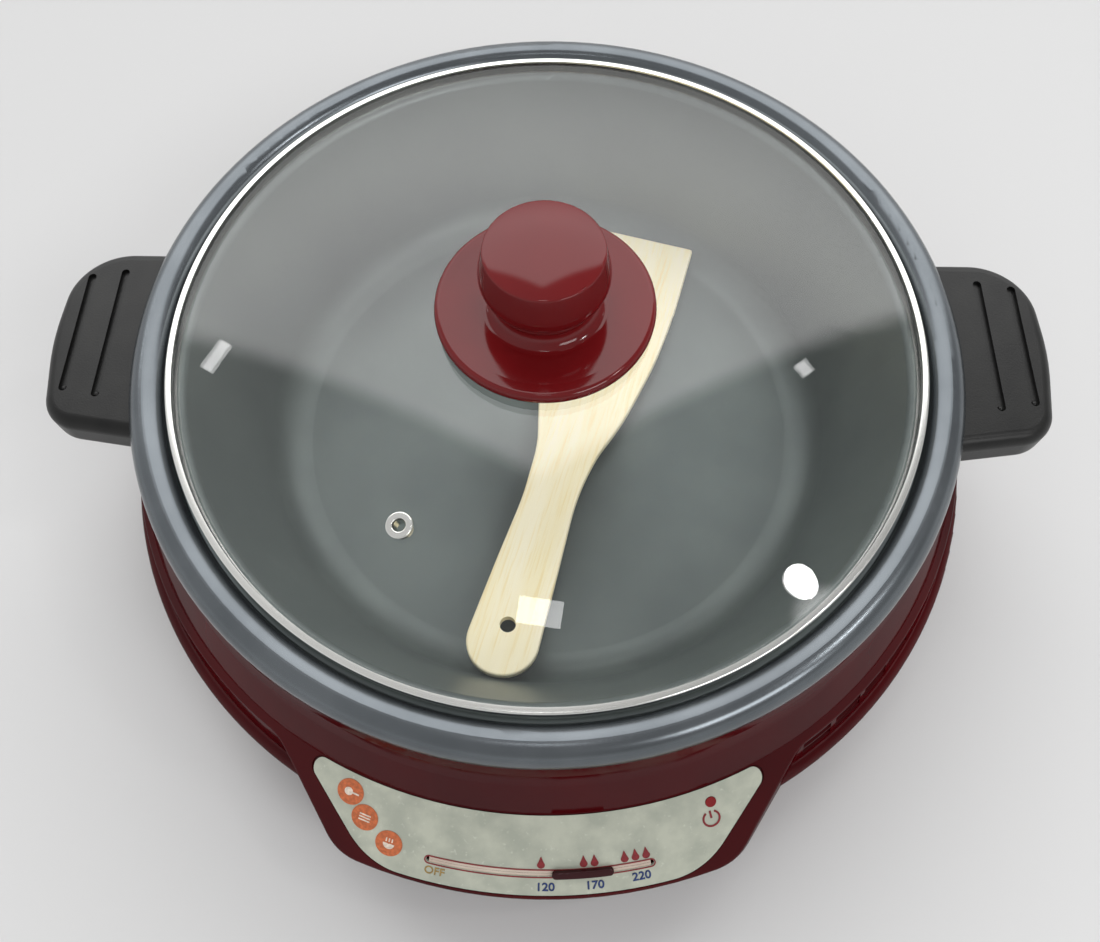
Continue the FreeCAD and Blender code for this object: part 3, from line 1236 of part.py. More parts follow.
def make_thermostat():
    """Adjustable bimetal thermostat: stacked ceramic discs, two spades and a bush for its shaft."""
    low, high = THERMOSTAT_LOW_Z, THERMOSTAT_HIGH_Z
    body = turned([
        (SHAFT_R + SHAFT_PLAY, low, 0), (7.0, low, 0), (7.0, low + 2.4, 0), (THERMOSTAT_R - 1, low + 2.4, 0),
        (THERMOSTAT_R - 1, low + 7.0, 0), (THERMOSTAT_R - 3, low + 7.4, 0), (THERMOSTAT_R - 3, low + 9.0, 0),
        (THERMOSTAT_R, low + 9.4, 0), (THERMOSTAT_R, high, 0), (0, high, 0), (0, low + 9.7, 0),
        (SHAFT_R + 2.0, low + 9.7, 0), (SHAFT_R + 2.0, low + 7.2, 0), (SHAFT_R + SHAFT_PLAY, low + 7.2, 0)])
    near, far = THERMOSTAT_R - 4, THERMOSTAT_R + SPADE_REACH
    spades = [box_between((-3.2, near, low + 7.8), (3.2, far, low + 8.6)),
              box_between((-3.2, -far, low + 7.8), (3.2, -near, low + 8.6))]
    return fused([body] + spades)


def make_fuse():
    """Thermal fuse in its glass sleeve, held against the heating plate."""
    return Part.makeCylinder(FUSE_R - 0.05, FUSE_HALF_LENGTH * 2,
                             Vector(FUSE_X, -FUSE_HALF_LENGTH, PLATE_UNDER_Z - FUSE_R), Vector(0, 1, 0))


FUSE_R = 2.2
FUSE_X = -38.0
FUSE_HALF_LENGTH = 13.0


def make_fuse_clip():
    """Spring strap that hugs the fuse and lies flat under the plate beside it."""
    z = PLATE_UNDER_Z
    wrap = Part.makeCylinder(FUSE_R + 0.7, 8, Vector(FUSE_X, -4, z - FUSE_R), Vector(0, 1, 0))
    wing = box_between((FUSE_X, -4, z - 0.75), (FUSE_X + 10.0, 4, z - 0.05))
    fuse = Part.makeCylinder(FUSE_R, 10, Vector(FUSE_X, -5, z - FUSE_R), Vector(0, 1, 0))
    strap = wrap.fuse(wing).cut(fuse)
    strap = strap.cut(box_between((FUSE_X - 9, -5, z - FUSE_R), (FUSE_X + FUSE_R * 0.9, 5, z + 1)))
    strap = strap.cut(box_between((FUSE_X - 9, -5, z - 0.02), (FUSE_X + 12, 5, z + 3)))
    return strap.removeSplitter()


def make_reflector():
    """Aluminised steel bowl with a centre hole, post holes, lead holes and a flange on the housing's web."""
    path = [
        (REFLECTOR_HOLE_R, REFLECTOR_Z + REFLECTOR_SHEET, 0),
        (REFLECTOR_FLOOR_R, REFLECTOR_Z + REFLECTOR_SHEET, 8.0),
        (REFLECTOR_TOP_R, WEB_Z + REFLECTOR_SHEET, 3.0),
        (REFLECTOR_FLANGE_R, WEB_Z + REFLECTOR_SHEET, 0),
    ]
    bowl = turned(sheet_corners(path, REFLECTOR_SHEET))
    cuts = []
    for azimuth in POST_AZIMUTHS:
        x, y = polar(POST_PITCH_R, azimuth)[:2]
        cuts.append(rod(SCREW_R + 0.5, REFLECTOR_Z - 1, REFLECTOR_Z + 3, x, y))
    for x, y in LEAD_HOLES:
        cuts.append(rod(LEAD_R + 1.2, REFLECTOR_Z - 1, REFLECTOR_Z + 3, x, y))
    cuts += pillars(REFLECTOR_SCREW_BORE_R, REFLECTOR_SCREW_R, REFLECTOR_SCREW_AZIMUTHS, WEB_Z - 1, WEB_Z + 3)
    return bowl.cut(cuts)


LEAD_HOLES = ((-24.0, 98.0), (14.3, 76.0), (24.0, 80.0))


def make_reflector_screws():
    seat = WEB_Z + REFLECTOR_SHEET
    return [pan_head_screw(polar(REFLECTOR_SCREW_R, a, seat), Vector(0, 0, -1), 8.0,
                           REFLECTOR_SCREW_BORE_R - 0.02, 3.2, 2.0) for a in REFLECTOR_SCREW_AZIMUTHS]


def make_housing_screws():
    return [pan_head_screw(polar(BOSS_PITCH_R, a, TRAY_Z + SCREW_DEPTH), UP, SCREW_LENGTH, SCREW_R - 0.02)
            for a in BOSS_AZIMUTHS]


def make_feet():
    """Rubber feet with a spigot in the tray, a bevelled tread and a dimple for their rivet."""
    feet = []
    for azimuth in FOOT_AZIMUTHS:
        foot = turned([(0, 1.2, 0), (3.0, 1.2, 0), (3.4, 0, 0), (FOOT_R - 2.2, 0, 0.8), (FOOT_R, 4.0, 0.8),
                       (FOOT_R, TRAY_Z + FOOT_SEAT - FIT, 0), (0, TRAY_Z + FOOT_SEAT - FIT, 0)])
        feet.append(foot.translated(polar(FOOT_PITCH_R, azimuth)))
    return feet


def make_inlet():
    """Appliance inlet: a flanged moulding with a recess round three flat pins."""
    face = POD_R
    body = box_between((-INLET_HALF_WIDTH, face - INLET_FLANGE - INLET_DEPTH, INLET_Z - INLET_HALF_HEIGHT),
                       (INLET_HALF_WIDTH, face - INLET_FLANGE, INLET_Z + INLET_HALF_HEIGHT))
    half = INLET_HALF_HEIGHT + 1.8
    corners = [(-INLET_FLANGE_HALF_WIDTH, INLET_Z, 6.0), (-INLET_HALF_WIDTH - 2, INLET_Z - half, 3.0),
               (INLET_HALF_WIDTH + 2, INLET_Z - half, 3.0), (INLET_FLANGE_HALF_WIDTH, INLET_Z, 6.0),
               (INLET_HALF_WIDTH + 2, INLET_Z + half, 3.0), (-INLET_HALF_WIDTH - 2, INLET_Z + half, 3.0)]
    wire = corner_wire(corners, lambda p: Vector(p.x, face - INLET_FLANGE, p.y))
    flange = Part.Face(wire).extrude(Vector(0, INLET_FLANGE, 0))
    w, h = INLET_CAVITY_HALF_WIDTH, INLET_CAVITY_HALF_HEIGHT
    low, high, key = INLET_Z - h, INLET_Z + h, INLET_CHAMFER
    mouth = [(-w, low, 2.0), (w, low, 2.0), (w, high - key, 0), (w - key, high, 0),
             (-w + key, high, 0), (-w, high - key, 0)]
    wire = corner_wire(mouth, lambda p: Vector(p.x, face - INLET_CAVITY_DEPTH, p.y))
    cavity = Part.Face(wire).extrude(Vector(0, INLET_CAVITY_DEPTH + 1, 0))
    inlet = fused([body, flange]).cut(cavity)
    inlet = inlet.cut([pin.copy() for pin in make_inlet_pins(FIT * 0.5)])
    for x in (-INLET_SCREW_PITCH, INLET_SCREW_PITCH):
        for radius, depth in ((1.6, INLET_FLANGE + 1.0), (2.6, INLET_SCREW_SINK)):
            start = Vector(x, face - depth, INLET_Z)
            inlet = inlet.cut(Part.makeCylinder(radius, depth, start, Vector(0, 1, 0)))
    return inlet


def inlet_pin_places():
    return ((-INLET_PIN_PITCH, INLET_Z - 2.0), (0.0, INLET_Z + 2.0), (INLET_PIN_PITCH, INLET_Z - 2.0))


def make_inlet_pins(grow=0.0):
    tip = POD_R - 2.4
    tail = POD_R - INLET_FLANGE - INLET_DEPTH - INLET_PIN_TAIL
    return [box_between((x - 1.0 - grow, tail - grow, z - 2.0 - grow), (x + 1.0 + grow, tip, z + 2.0 + grow))
            for x, z in inlet_pin_places()]


def make_inlet_screws():
    seats = [Vector(side * INLET_SCREW_PITCH, POD_R - INLET_SCREW_SINK, INLET_Z) for side in (-1, 1)]
    shank_r = INLET_SCREW_BORE_R - 0.02
    return [pan_head_screw(seat, Vector(0, -1, 0), 8.0, shank_r, 2.4, 0.9) for seat in seats]


BLOCK_LOW = (-62.0, 126.0, TRAY_TOP_Z)
BLOCK_HIGH = (-26.0, 142.0, TRAY_TOP_Z + 13.0)


def make_terminal_block():
    """Three-way screw terminal block on the tray."""
    block = box_between(BLOCK_LOW, BLOCK_HIGH)
    pitch = (BLOCK_HIGH[0] - BLOCK_LOW[0]) / 3
    mid_y = (BLOCK_LOW[1] + BLOCK_HIGH[1]) / 2
    cuts = []
    for i in range(3):
        x = BLOCK_LOW[0] + pitch * (i + 0.5)
        cuts.append(rod(2.4, BLOCK_HIGH[2] - 4, BLOCK_HIGH[2] + 1, x, mid_y))
        start = Vector(x, BLOCK_LOW[1] - 5, BLOCK_LOW[2] + 5.0)
        cuts.append(Part.makeCylinder(2.0, 40, start, Vector(0, 1, 0)))
    for i in (1, 2):
        x = BLOCK_LOW[0] + pitch * i
        low = (x - 0.5, BLOCK_LOW[1] - 1, BLOCK_HIGH[2] - 3)
        high = (x + 0.5, BLOCK_HIGH[1] + 1, BLOCK_HIGH[2] + 1)
        cuts.append(box_between(low, high))
    return block.cut(cuts)


def block_port(way, front):
    """Mouth of one of the block's three ways, on its front (-Y) or back (+Y) side."""
    pitch = (BLOCK_HIGH[0] - BLOCK_LOW[0]) / 3
    y = BLOCK_LOW[1] + 2 if front else BLOCK_HIGH[1] - 2
    return (BLOCK_LOW[0] + pitch * (way + 0.5), y, BLOCK_LOW[2] + 5.0)


def make_leads():
    """Internal leads, each from its real start to its real end."""
    tail_y = POD_R - INLET_FLANGE - INLET_DEPTH - INLET_PIN_TAIL
    (nx, nz), (_, ez), (lx, lz) = inlet_pin_places()
    spade_z = ELEMENT_Z - COLD_END_DROP - 4.5
    end_right, end_left = element_ends()
    back = [block_port(way, False) for way in range(3)]
    front = [block_port(way, True) for way in range(3)]
    (ax, ay), (bx, by), (cx, cy) = LEAD_HOLES
    on_spade_z = THERMOSTAT_LOW_Z + 8.6 + LEAD_R
    spade_y = THERMOSTAT_R + SPADE_REACH - 4.0
    fuse_z = PLATE_UNDER_Z - FUSE_R
    beside_spade = SPADE_SHEET / 2 + LEAD_R + 0.02
    lamp_low = -HOUSING_WALL - LENS_DEPTH - FIT - LAMP_LENGTH
    lamp_end = face_point(LENS_PITCH_R, LENS_AZIMUTH, lamp_low - 0.05)
    lamp_bend = face_point(LENS_PITCH_R, LENS_AZIMUTH, lamp_low - 8.0)
    routes = {
        "live_lead": [(lx, tail_y - 0.1, lz), (lx, tail_y - 8, lz), (back[2][0], tail_y - 17, 16.0),
                      (back[2][0], back[2][1] + 8, back[2][2]), back[2]],
        "neutral_lead": [(nx, tail_y - 0.1, nz), (nx, tail_y - 6, nz), (back[0][0], tail_y - 15, 18.0),
                         (back[0][0], back[0][1] + 9, back[0][2]), back[0]],
        "earth_lead": [(0.0, tail_y - 0.1, ez), (0.0, tail_y - 15, ez), (cx, 130.0, UNDER_BOWL_Z),
                       (cx, cy, UNDER_BOWL_Z), (cx, cy, PLATE_UNDER_Z - 0.02)],
        "thermostat_lead": [front[2], (front[2][0], front[2][1] - 10, UNDER_BOWL_Z),
                            (ax, ay + 9, UNDER_BOWL_Z), (ax, ay, UNDER_BOWL_Z), (ax, ay, 21.5),
                            (ax, 60.0, 21.5), (0.0, 36.0, on_spade_z), (0.0, spade_y, on_spade_z)],
        "fuse_lead": [(0.0, -spade_y, on_spade_z), (0.0, -spade_y - 7.5, on_spade_z), (FUSE_X, -28.5, fuse_z),
                      (FUSE_X, -FUSE_HALF_LENGTH - 0.02, fuse_z)],
        "element_lead": [(FUSE_X, FUSE_HALF_LENGTH + 0.02, fuse_z), (FUSE_X, 22.0, fuse_z),
                         (FUSE_X, 32.0, 19.0), (end_left.x - beside_spade, 46.0, 19.0),
                         (end_left.x - beside_spade, 61.0, spade_z + 0.4)],
        "return_lead": [front[0], (front[0][0], front[0][1] - 12, UNDER_BOWL_Z), (-44.0, 89.5, UNDER_BOWL_Z),
                        (bx, 89.5, UNDER_BOWL_Z), (bx, by, UNDER_BOWL_Z), (bx, by, spade_z),
                        (bx, end_right.y - 2.0, spade_z)],
        "lamp_lead": [front[1], (front[1][0], front[1][1] - 9, 12.0), (-28.0, 121.0, LAMP_LEAD_Z),
                      (60.0, 128.0, LAMP_LEAD_Z), (128.0, 60.0, LAMP_LEAD_Z), (141.0, -20.0, LAMP_LEAD_Z),
                      (112.0, -92.0, LAMP_LEAD_Z), (lamp_bend.x, lamp_bend.y + 6, LAMP_LEAD_Z),
                      (lamp_bend.x, lamp_bend.y, 20.0), tuple(lamp_bend), tuple(lamp_end)],
    }
    return {name: tube(route, LEAD_R, LEAD_BEND_R) for name, route in routes.items()}


# ---------------------------------------------------------------- spatula

SPATULA_LENGTH = 236.5
SPATULA_DIRECTION = 75.0              # degrees from +X
SPATULA_HANDLE_END = (-19.7, -124.2, 58.0)
SPATULA_DROP = 8.6                    # blade end lower than the handle end
SPATULA_HOLE_S = 21.8


def make_spatula():
    """Flat wooden spatula leaning on the pan's wall: waisted handle with a hole, flared blade, square end."""
    right_side = [(0, -16.0, 15.0), (50, -13.6, 300.0), (88, -11.6, 120.0), (110, -15.4, 60.0),
                  (128, -21.8, 150.0), (165, -28.6, 200.0), (195, -31.0, 300.0), (SPATULA_LENGTH, -31.0, 1.5)]
    left_side = [(SPATULA_LENGTH, 31.0, 6.0), (195, 31.0, 300.0), (165, 26.6, 200.0), (128, 18.4, 150.0),
                 (107, 12.6, 60.0), (80, 11.4, 120.0), (50, 13.4, 300.0), (0, 16.0, 15.0)]
    board = prism(right_side + left_side, 0, SPATULA_THICKNESS)
    flat = [e for e in board.Edges if e.BoundBox.ZLength < 1e-6]
    board = board.makeFillet(1.0, flat)
    board = board.cut(rod(SPATULA_HOLE_R, -1, SPATULA_THICKNESS + 1, SPATULA_HOLE_S))
    tilt = math.degrees(math.asin(SPATULA_DROP / SPATULA_LENGTH))
    turn = FreeCAD.Rotation(UP, SPATULA_DIRECTION).multiply(FreeCAD.Rotation(Vector(0, 1, 0), tilt))
    board.Placement = FreeCAD.Placement(Vector(*SPATULA_HANDLE_END), turn)
    return board


def write(name, shape):
    solids = shape if isinstance(shape, list) else [shape]
    compound = Part.makeCompound(solids) if len(solids) > 1 else solids[0]
    compound.exportStep(os.path.join("parts", name + ".step"))


def main():
    os.makedirs("parts", exist_ok=True)
    handle, bracket, screws = make_handle(), make_bracket(), make_handle_screws()
    shell = make_housing_shell()
    nodes = {
        "pan": make_pan(),
        "handle_right": handle,
        "handle_left": mirrored(handle),
        "handle_brackets": [bracket, mirrored(bracket)],
        "handle_screws": screws + [mirrored(s) for s in screws],
        "lid_glass": make_lid_glass(),
        "lid_band": make_lid_band(),
        "lid_seal": make_lid_seal(),
        "vent_eyelet": make_vent_eyelet(),
        "vent_washer": make_vent_washer(),
        "knob_skirt": make_knob_skirt(),
        "knob_head": make_knob_head(),
        "knob_insert": make_knob_insert(),
        "knob_gasket": make_knob_gasket(),
        "knob_cup": make_knob_cup(),
        "knob_screw": make_knob_screw(),
        "upper_housing": make_upper_housing(shell),
        "lower_housing": make_lower_housing(shell),
        "control_panel": make_control_panel(),
        "pilot_lens": make_pilot_lens(),
        "pilot_lamp": make_pilot_lamp(),
        "lever_arm": make_lever_arm(),
        "lever_clip": make_lever_clip(),
        "lever_guide": make_lever_guide(),
        "guide_screws": make_guide_screws(),
        "thermostat_shaft": make_thermostat_shaft(),
        "slider_knob": make_slider_knob(),
        "heating_plate": make_heating_plate(),
        "heating_element": make_heating_element(),
        "element_terminals": make_element_terminals(),
        "plate_posts": make_plate_posts(),
        "plate_screws": make_plate_screws(),
        "thermostat": make_thermostat(),
        "thermostat_bracket": make_thermostat_bracket(),
        "thermostat_screws": make_thermostat_screws(),
        "thermal_fuse": make_fuse(),
        "fuse_clip": make_fuse_clip(),
        "heat_reflector": make_reflector(),
        "reflector_screws": make_reflector_screws(),
        "housing_screws": make_housing_screws(),
        "rubber_feet": make_feet(),
        "inlet_socket": make_inlet(),
        "inlet_pins": make_inlet_pins(),
        "inlet_screws": make_inlet_screws(),
        "terminal_block": make_terminal_block(),
        "spatula": make_spatula(),
    }
    nodes.update(make_leads())
    for name, shape in nodes.items():
        write(name, shape)
        solids = shape if isinstance(shape, list) else [shape]
        faulty = [s.isValid() for s in solids].count(False)
        print(name, len(solids), [round(s.Volume) for s in solids][:2], faulty)


main()
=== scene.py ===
# %% [markdown]
# # A table-top electric hot pot
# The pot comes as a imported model: every rigid piece is already there at its real size, with the joints
# that move it. This lesson gives each of those pieces the finish of the real one, prints the control
# panel, and sets up a plain studio. Lengths are in metres, +Z is up, the panel faces -Y and the pot's
# axis is the Z axis.

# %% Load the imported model
import math
import bmesh
import bpy
from mathutils import Matrix, Vector


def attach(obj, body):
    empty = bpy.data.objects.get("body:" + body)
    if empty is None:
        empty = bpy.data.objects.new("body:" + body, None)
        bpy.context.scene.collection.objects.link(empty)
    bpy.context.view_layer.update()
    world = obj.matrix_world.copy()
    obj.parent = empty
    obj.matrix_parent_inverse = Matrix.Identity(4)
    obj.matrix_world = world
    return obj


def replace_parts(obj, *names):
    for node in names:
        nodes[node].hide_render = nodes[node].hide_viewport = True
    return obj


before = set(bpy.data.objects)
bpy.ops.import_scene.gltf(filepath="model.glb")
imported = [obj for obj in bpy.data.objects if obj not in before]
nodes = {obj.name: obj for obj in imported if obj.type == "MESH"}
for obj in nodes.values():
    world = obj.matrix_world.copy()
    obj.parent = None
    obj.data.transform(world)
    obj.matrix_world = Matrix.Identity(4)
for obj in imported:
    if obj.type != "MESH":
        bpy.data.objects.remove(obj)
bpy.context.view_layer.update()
MM = 0.001

# %% [markdown]
# ## Helpers for every material
# Colours are written as the hex values that a colour picker shows. The renderer works in linear light, so
# one function turns them. A second one adds a node: plain values go to its inputs, and sockets are linked
# to them. The others are short names for what nearly every finish here needs: a colour ramp, noise whose
# features have a real size, and a bump of a real depth.

# %% Colour and node helpers


def linear(hex_colour):
    """An sRGB hex colour as linear RGBA."""
    parts = [int(hex_colour[i:i + 2], 16) / 255 for i in (1, 3, 5)]
    return [c / 12.92 if c <= 0.04045 else ((c + 0.055) / 1.055) ** 2.4 for c in parts] + [1.0]


def add(tree, kind, inputs=None, **settings):
    """Adds a node with its settings. An input given a socket is linked to it; a hex string is a colour."""
    node = tree.nodes.new(kind)
    for name, value in settings.items():
        setattr(node, name, value)
    for name, value in (inputs or {}).items():
        if isinstance(value, bpy.types.NodeSocket):
            tree.links.new(value, node.inputs[name])
        elif isinstance(value, str):
            node.inputs[name].default_value = linear(value)
        else:
            node.inputs[name].default_value = value
    return node


def new_material(name):
    """An empty node tree for a material."""
    material = bpy.data.materials.new(name)
    material.use_nodes = True
    material.node_tree.nodes.clear()
    return material


def finish(material, shader):
    """Connects the last shader to the material's output and gives the material back."""
    add(material.node_tree, "ShaderNodeOutputMaterial", {"Surface": shader.outputs[0]})
    print("material:", material.name)
    return material


def tone(tree, factor, dark, light, low=0.0, high=1.0):
    """A colour that runs from dark to light while the factor runs from low to high."""
    ramp = add(tree, "ShaderNodeValToRGB", {"Fac": factor})
    ramp.color_ramp.elements[0].position = low
    ramp.color_ramp.elements[0].color = linear(dark)
    ramp.color_ramp.elements[1].position = high
    ramp.color_ramp.elements[1].color = linear(light)
    return ramp.outputs["Color"]


def object_place(tree):
    """Where a point is, in metres. Every piece's object sits at the origin, so this is its real place."""
    return add(tree, "ShaderNodeTexCoord").outputs["Object"]


def noise(tree, feature, detail=2.0, place=None):
    """Noise whose features are about this many metres across, on object coordinates or on another vector."""
    if place is None:
        place = object_place(tree)
    pattern = add(tree, "ShaderNodeTexNoise", {"Vector": place, "Scale": 1 / feature, "Detail": detail})
    return pattern.outputs["Fac"]


def bump(tree, height, depth):
    """A normal from a height pattern, depth in metres from its lowest to its highest."""
    relief = add(tree, "ShaderNodeBump", {"Height": height, "Distance": depth, "Strength": 1.0})
    return relief.outputs["Normal"]


# %% [markdown]
# ## Burgundy mouldings
# The housing is injection-moulded ABS with a polished skin: a very dark red that looks almost black where
# nothing bright is mirrored in it. The body of the plastic is plain diffuse colour, and the polish is a
# coat over it, so that one number says how strong the mirror image is. A polished moulding is never quite
# flat: a faint ripple a few millimetres wide bends its highlights. The knob is phenolic of the same
# family of colour, lighter and warmer, and the slider's cap is nearly black.

# %% Polished plastics


def polished_plastic(name, dark, light, roughness, ripple, polish):
    """A diffuse body under a clear coat. ripple is in metres, and polish is how much the coat mirrors."""
    material = new_material(name)
    tree = material.node_tree
    shade = tone(tree, noise(tree, 60 * MM, 3.0), dark, light, 0.35, 0.65)
    wave = bump(tree, noise(tree, 9 * MM, 1.0), ripple)
    return finish(material, add(tree, "ShaderNodeBsdfPrincipled", {
        "Base Color": shade, "Roughness": 0.6, "Specular IOR Level": 0.0, "Coat Weight": polish,
        "Coat Roughness": roughness, "Coat IOR": 1.5, "Normal": wave, "Coat Normal": wave}))


housing_abs = polished_plastic("polished_burgundy_abs", "#3c0307", "#480509", 0.08, 0.02 * MM, 0.28)
knob_phenolic = polished_plastic("polished_burgundy_phenolic", "#640f12", "#6e1316", 0.08, 0.012 * MM, 0.72)
slider_cap = polished_plastic("dark_burgundy_cap", "#2a070b", "#360a10", 0.25, 0.01 * MM, 0.5)

# %% [markdown]
# ## Black heat-proof handles
# The pan's handles are moulded phenolic with a spark-eroded mould finish: nearly black, satin, with a
# fine grain that breaks up the light. The grain is about 0.3 mm in truth and is drawn a little coarser,
# so that it shows.

# %% Satin plastics


def satin_plastic(name, dark, light, roughness, grain=0.8 * MM, depth=0.05 * MM):
    """A moulded surface with a grain of this width and depth. It serves for rubber and ceramic as well."""
    material = new_material(name)
    tree = material.node_tree
    shade = tone(tree, noise(tree, 14 * MM, 4.0), dark, light, 0.35, 0.7)
    texture = bump(tree, noise(tree, grain, 2.0), depth)
    return finish(material, add(tree, "ShaderNodeBsdfPrincipled", {
        "Base Color": shade, "Roughness": roughness, "IOR": 1.5, "Specular IOR Level": 0.3,
        "Normal": texture}))


black_phenolic = satin_plastic("satin_black_phenolic", "#101010", "#1a1a19", 0.36)
black_moulding = satin_plastic("matt_black_moulding", "#131313", "#1c1c1c", 0.5)
white_nylon = satin_plastic("white_nylon", "#d8d6cc", "#e6e4da", 0.5)
steatite = satin_plastic("steatite_ceramic", "#cdc2a8", "#ddd3bc", 0.6)
rubber = satin_plastic("black_rubber", "#141414", "#202020", 0.75, 1.2 * MM)
silicone = satin_plastic("dark_silicone", "#343836", "#434744", 0.4, 3 * MM, 0.01 * MM)

# %% [markdown]
# ## Non-stick pan
# The pan is drawn aluminium with a sprayed grey non-stick coat. Inside, the coat is a neutral, slightly
# green grey that is dulled by use. On the rolled rim it is bluer, holds more metal flake and is burnished
# by the lid, so it mirrors its surroundings in broad bands. One material does both: the distance to the
# pot's axis says where the rim starts. Spinning leaves very faint rings, made from the same distance.

# %% Grey non-stick coat


def distance_from_axis(tree):
    """Distance of a point from the pot's axis, in metres."""
    flat = add(tree, "ShaderNodeVectorMath", {0: object_place(tree), 1: (1, 1, 0)}, operation="MULTIPLY")
    return add(tree, "ShaderNodeVectorMath", {0: flat.outputs[0]}, operation="LENGTH").outputs["Value"]


def ring_marks(tree, pitch):
    """Fine rings round the pot's axis, as a lathe or a spinning tool leaves them."""
    same_all_round = add(tree, "ShaderNodeCombineXYZ", {"X": distance_from_axis(tree)})
    return noise(tree, pitch, place=same_all_round.outputs[0])


def between(tree, value, low, high, at_low, at_high, **settings):
    """A number that runs from at_low to at_high while the value runs from low to high."""
    step = add(tree, "ShaderNodeMapRange", {
        "Value": value, "From Min": low, "From Max": high, "To Min": at_low, "To Max": at_high}, **settings)
    return step.outputs[0]


def mixed_colour(tree, factor, first, second, blend="MIX"):
    """Two colours mixed. The node has sockets of one name for every kind of data, so they go by number."""
    mix = add(tree, "ShaderNodeMix", {0: factor, 6: first, 7: second}, data_type="RGBA", blend_type=blend)
    return mix.outputs[2]


RIM_STARTS, RIM_FULL = 151 * MM, 154 * MM


def non_stick():
    material = new_material("grey_non_stick_coat")
    tree = material.node_tree
    rim = between(tree, distance_from_axis(tree), RIM_STARTS, RIM_FULL, 0.0, 1.0)
    inside = tone(tree, noise(tree, 45 * MM, 4.0), "#4f5856", "#5a6360", 0.35, 0.65)
    outside = tone(tree, noise(tree, 30 * MM, 4.0), "#5f6468", "#696e72", 0.35, 0.65)
    rings = bump(tree, ring_marks(tree, 1.6 * MM), 0.015 * MM)
    return finish(material, add(tree, "ShaderNodeBsdfPrincipled", {
        "Base Color": mixed_colour(tree, rim, inside, outside),
        "Metallic": between(tree, rim, 0.0, 1.0, 0.35, 0.8),
        "Roughness": between(tree, rim, 0.0, 1.0, 0.42, 0.22), "Normal": rings}))


pan_coat = non_stick()

# %% [markdown]
# ## Metals
# Four kinds show: the polished stainless band on the lid, zinc-plated steel small parts, the bright
# aluminised reflector and the cast heating plate. All are plain metals that differ in roughness and in
# the marks left on them: rings on turned and spun pieces, a mottle on cast and plated ones.

# %% Metals


def metal(name, colour, roughness, mottle, rings, depth, dark):
    """A metal with patches mottle wide, and lathe rings of this pitch, or fine dents where it is 0."""
    material = new_material(name)
    tree = material.node_tree
    shade = tone(tree, noise(tree, mottle, 3.0), dark, colour, 0.35, 0.65)
    marks = ring_marks(tree, rings) if rings else noise(tree, mottle / 4, 2.0)
    return finish(material, add(tree, "ShaderNodeBsdfPrincipled", {
        "Base Color": shade, "Metallic": 1.0, "Roughness": roughness, "Normal": bump(tree, marks, depth)}))


stainless = metal("polished_stainless", "#e4e4e0", 0.18, 20 * MM, 0.0, 0.003 * MM, "#e4e4e0")
zinc = metal("zinc_plated_steel", "#b9bbbd", 0.34, 4 * MM, 0.0, 0.01 * MM, "#a3a6aa")
aluminised = metal("aluminised_sheet", "#c6c9cc", 0.28, 12 * MM, 1.5 * MM, 0.01 * MM, "#b8bbbf")
cast_aluminium = metal("cast_aluminium", "#b0b2b4", 0.42, 5 * MM, 2.5 * MM, 0.03 * MM, "#9c9ea1")
sheath = metal("stainless_sheath", "#6f6a64", 0.45, 4 * MM, 0.0, 0.01 * MM, "#57524d")
brass = metal("drawn_brass", "#cfa65a", 0.3, 4 * MM, 0.0, 0.008 * MM, "#bd9448")

# %% [markdown]
# ## Glass and the lamp's lens
# The lid is pressed, tempered soda glass. It is a real 4 mm shell here, so it refracts and mirrors by
# itself. Its IOR is a little under that of real soda glass, which keeps the mirrored sky from veiling the
# pan. The pilot lamp's lens is dark red acrylic, so deep in colour that it needs no transmission.

# %% Glass and lens


def soda_glass():
    material = new_material("tempered_soda_glass")
    tree = material.node_tree
    shader = add(tree, "ShaderNodeBsdfPrincipled", {
        "Base Color": "#ffffff", "Roughness": 0.0, "IOR": 1.42, "Transmission Weight": 1.0})
    passing = add(tree, "ShaderNodeBsdfTransparent", {"Color": "#ffffff"})
    path = add(tree, "ShaderNodeLightPath")
    for ray in ("Is Diffuse Ray", "Is Shadow Ray"):
        shader = add(tree, "ShaderNodeMixShader", {
            0: path.outputs[ray], 1: shader.outputs[0], 2: passing.outputs[0]})
    return finish(material, shader)


lid_glass = soda_glass()
lens_acrylic = satin_plastic("dark_red_acrylic", "#7a1418", "#8a181c", 0.12, 3 * MM, 0.005 * MM)

# %% [markdown]
# ## Silver panel sheet
# The panel is a thin plastic sheet printed silver. Its silver is a warm, slightly green grey with a
# cloudy mottle a few millimetres across and fine bright flecks, and it is satin rather than mirror-like.

# %% Printed silver sheet


def printed_silver():
    material = new_material("printed_silver_sheet")
    tree = material.node_tree
    clouds = tone(tree, noise(tree, 11 * MM, 4.0), "#aeb2a4", "#c3c6b6", 0.36, 0.64)
    fleck = tone(tree, noise(tree, 1.8 * MM, 2.0), "#000000", "#ffffff", 0.64, 0.8)
    texture = bump(tree, noise(tree, 2.5 * MM, 3.0), 0.015 * MM)
    return finish(material, add(tree, "ShaderNodeBsdfPrincipled", {
        "Base Color": mixed_colour(tree, fleck, clouds, "#ccd0c2"), "Metallic": 0.3, "Roughness": 0.34,
        "Normal": texture}))


silver = printed_silver()

# %% [markdown]
# ## Wood, wire and small stuff
# The spatula is sanded pale wood such as poplar: nearly plain cream, with faint straight grain along the
# board. A Mapping node turns the noise to the board's own direction and stretches it along it. Wire
# insulation is soft PVC in the colours of the mains.

# %% Wood and insulation
BOARD_ANGLE = math.radians(75.0)      # the spatula's direction from +X


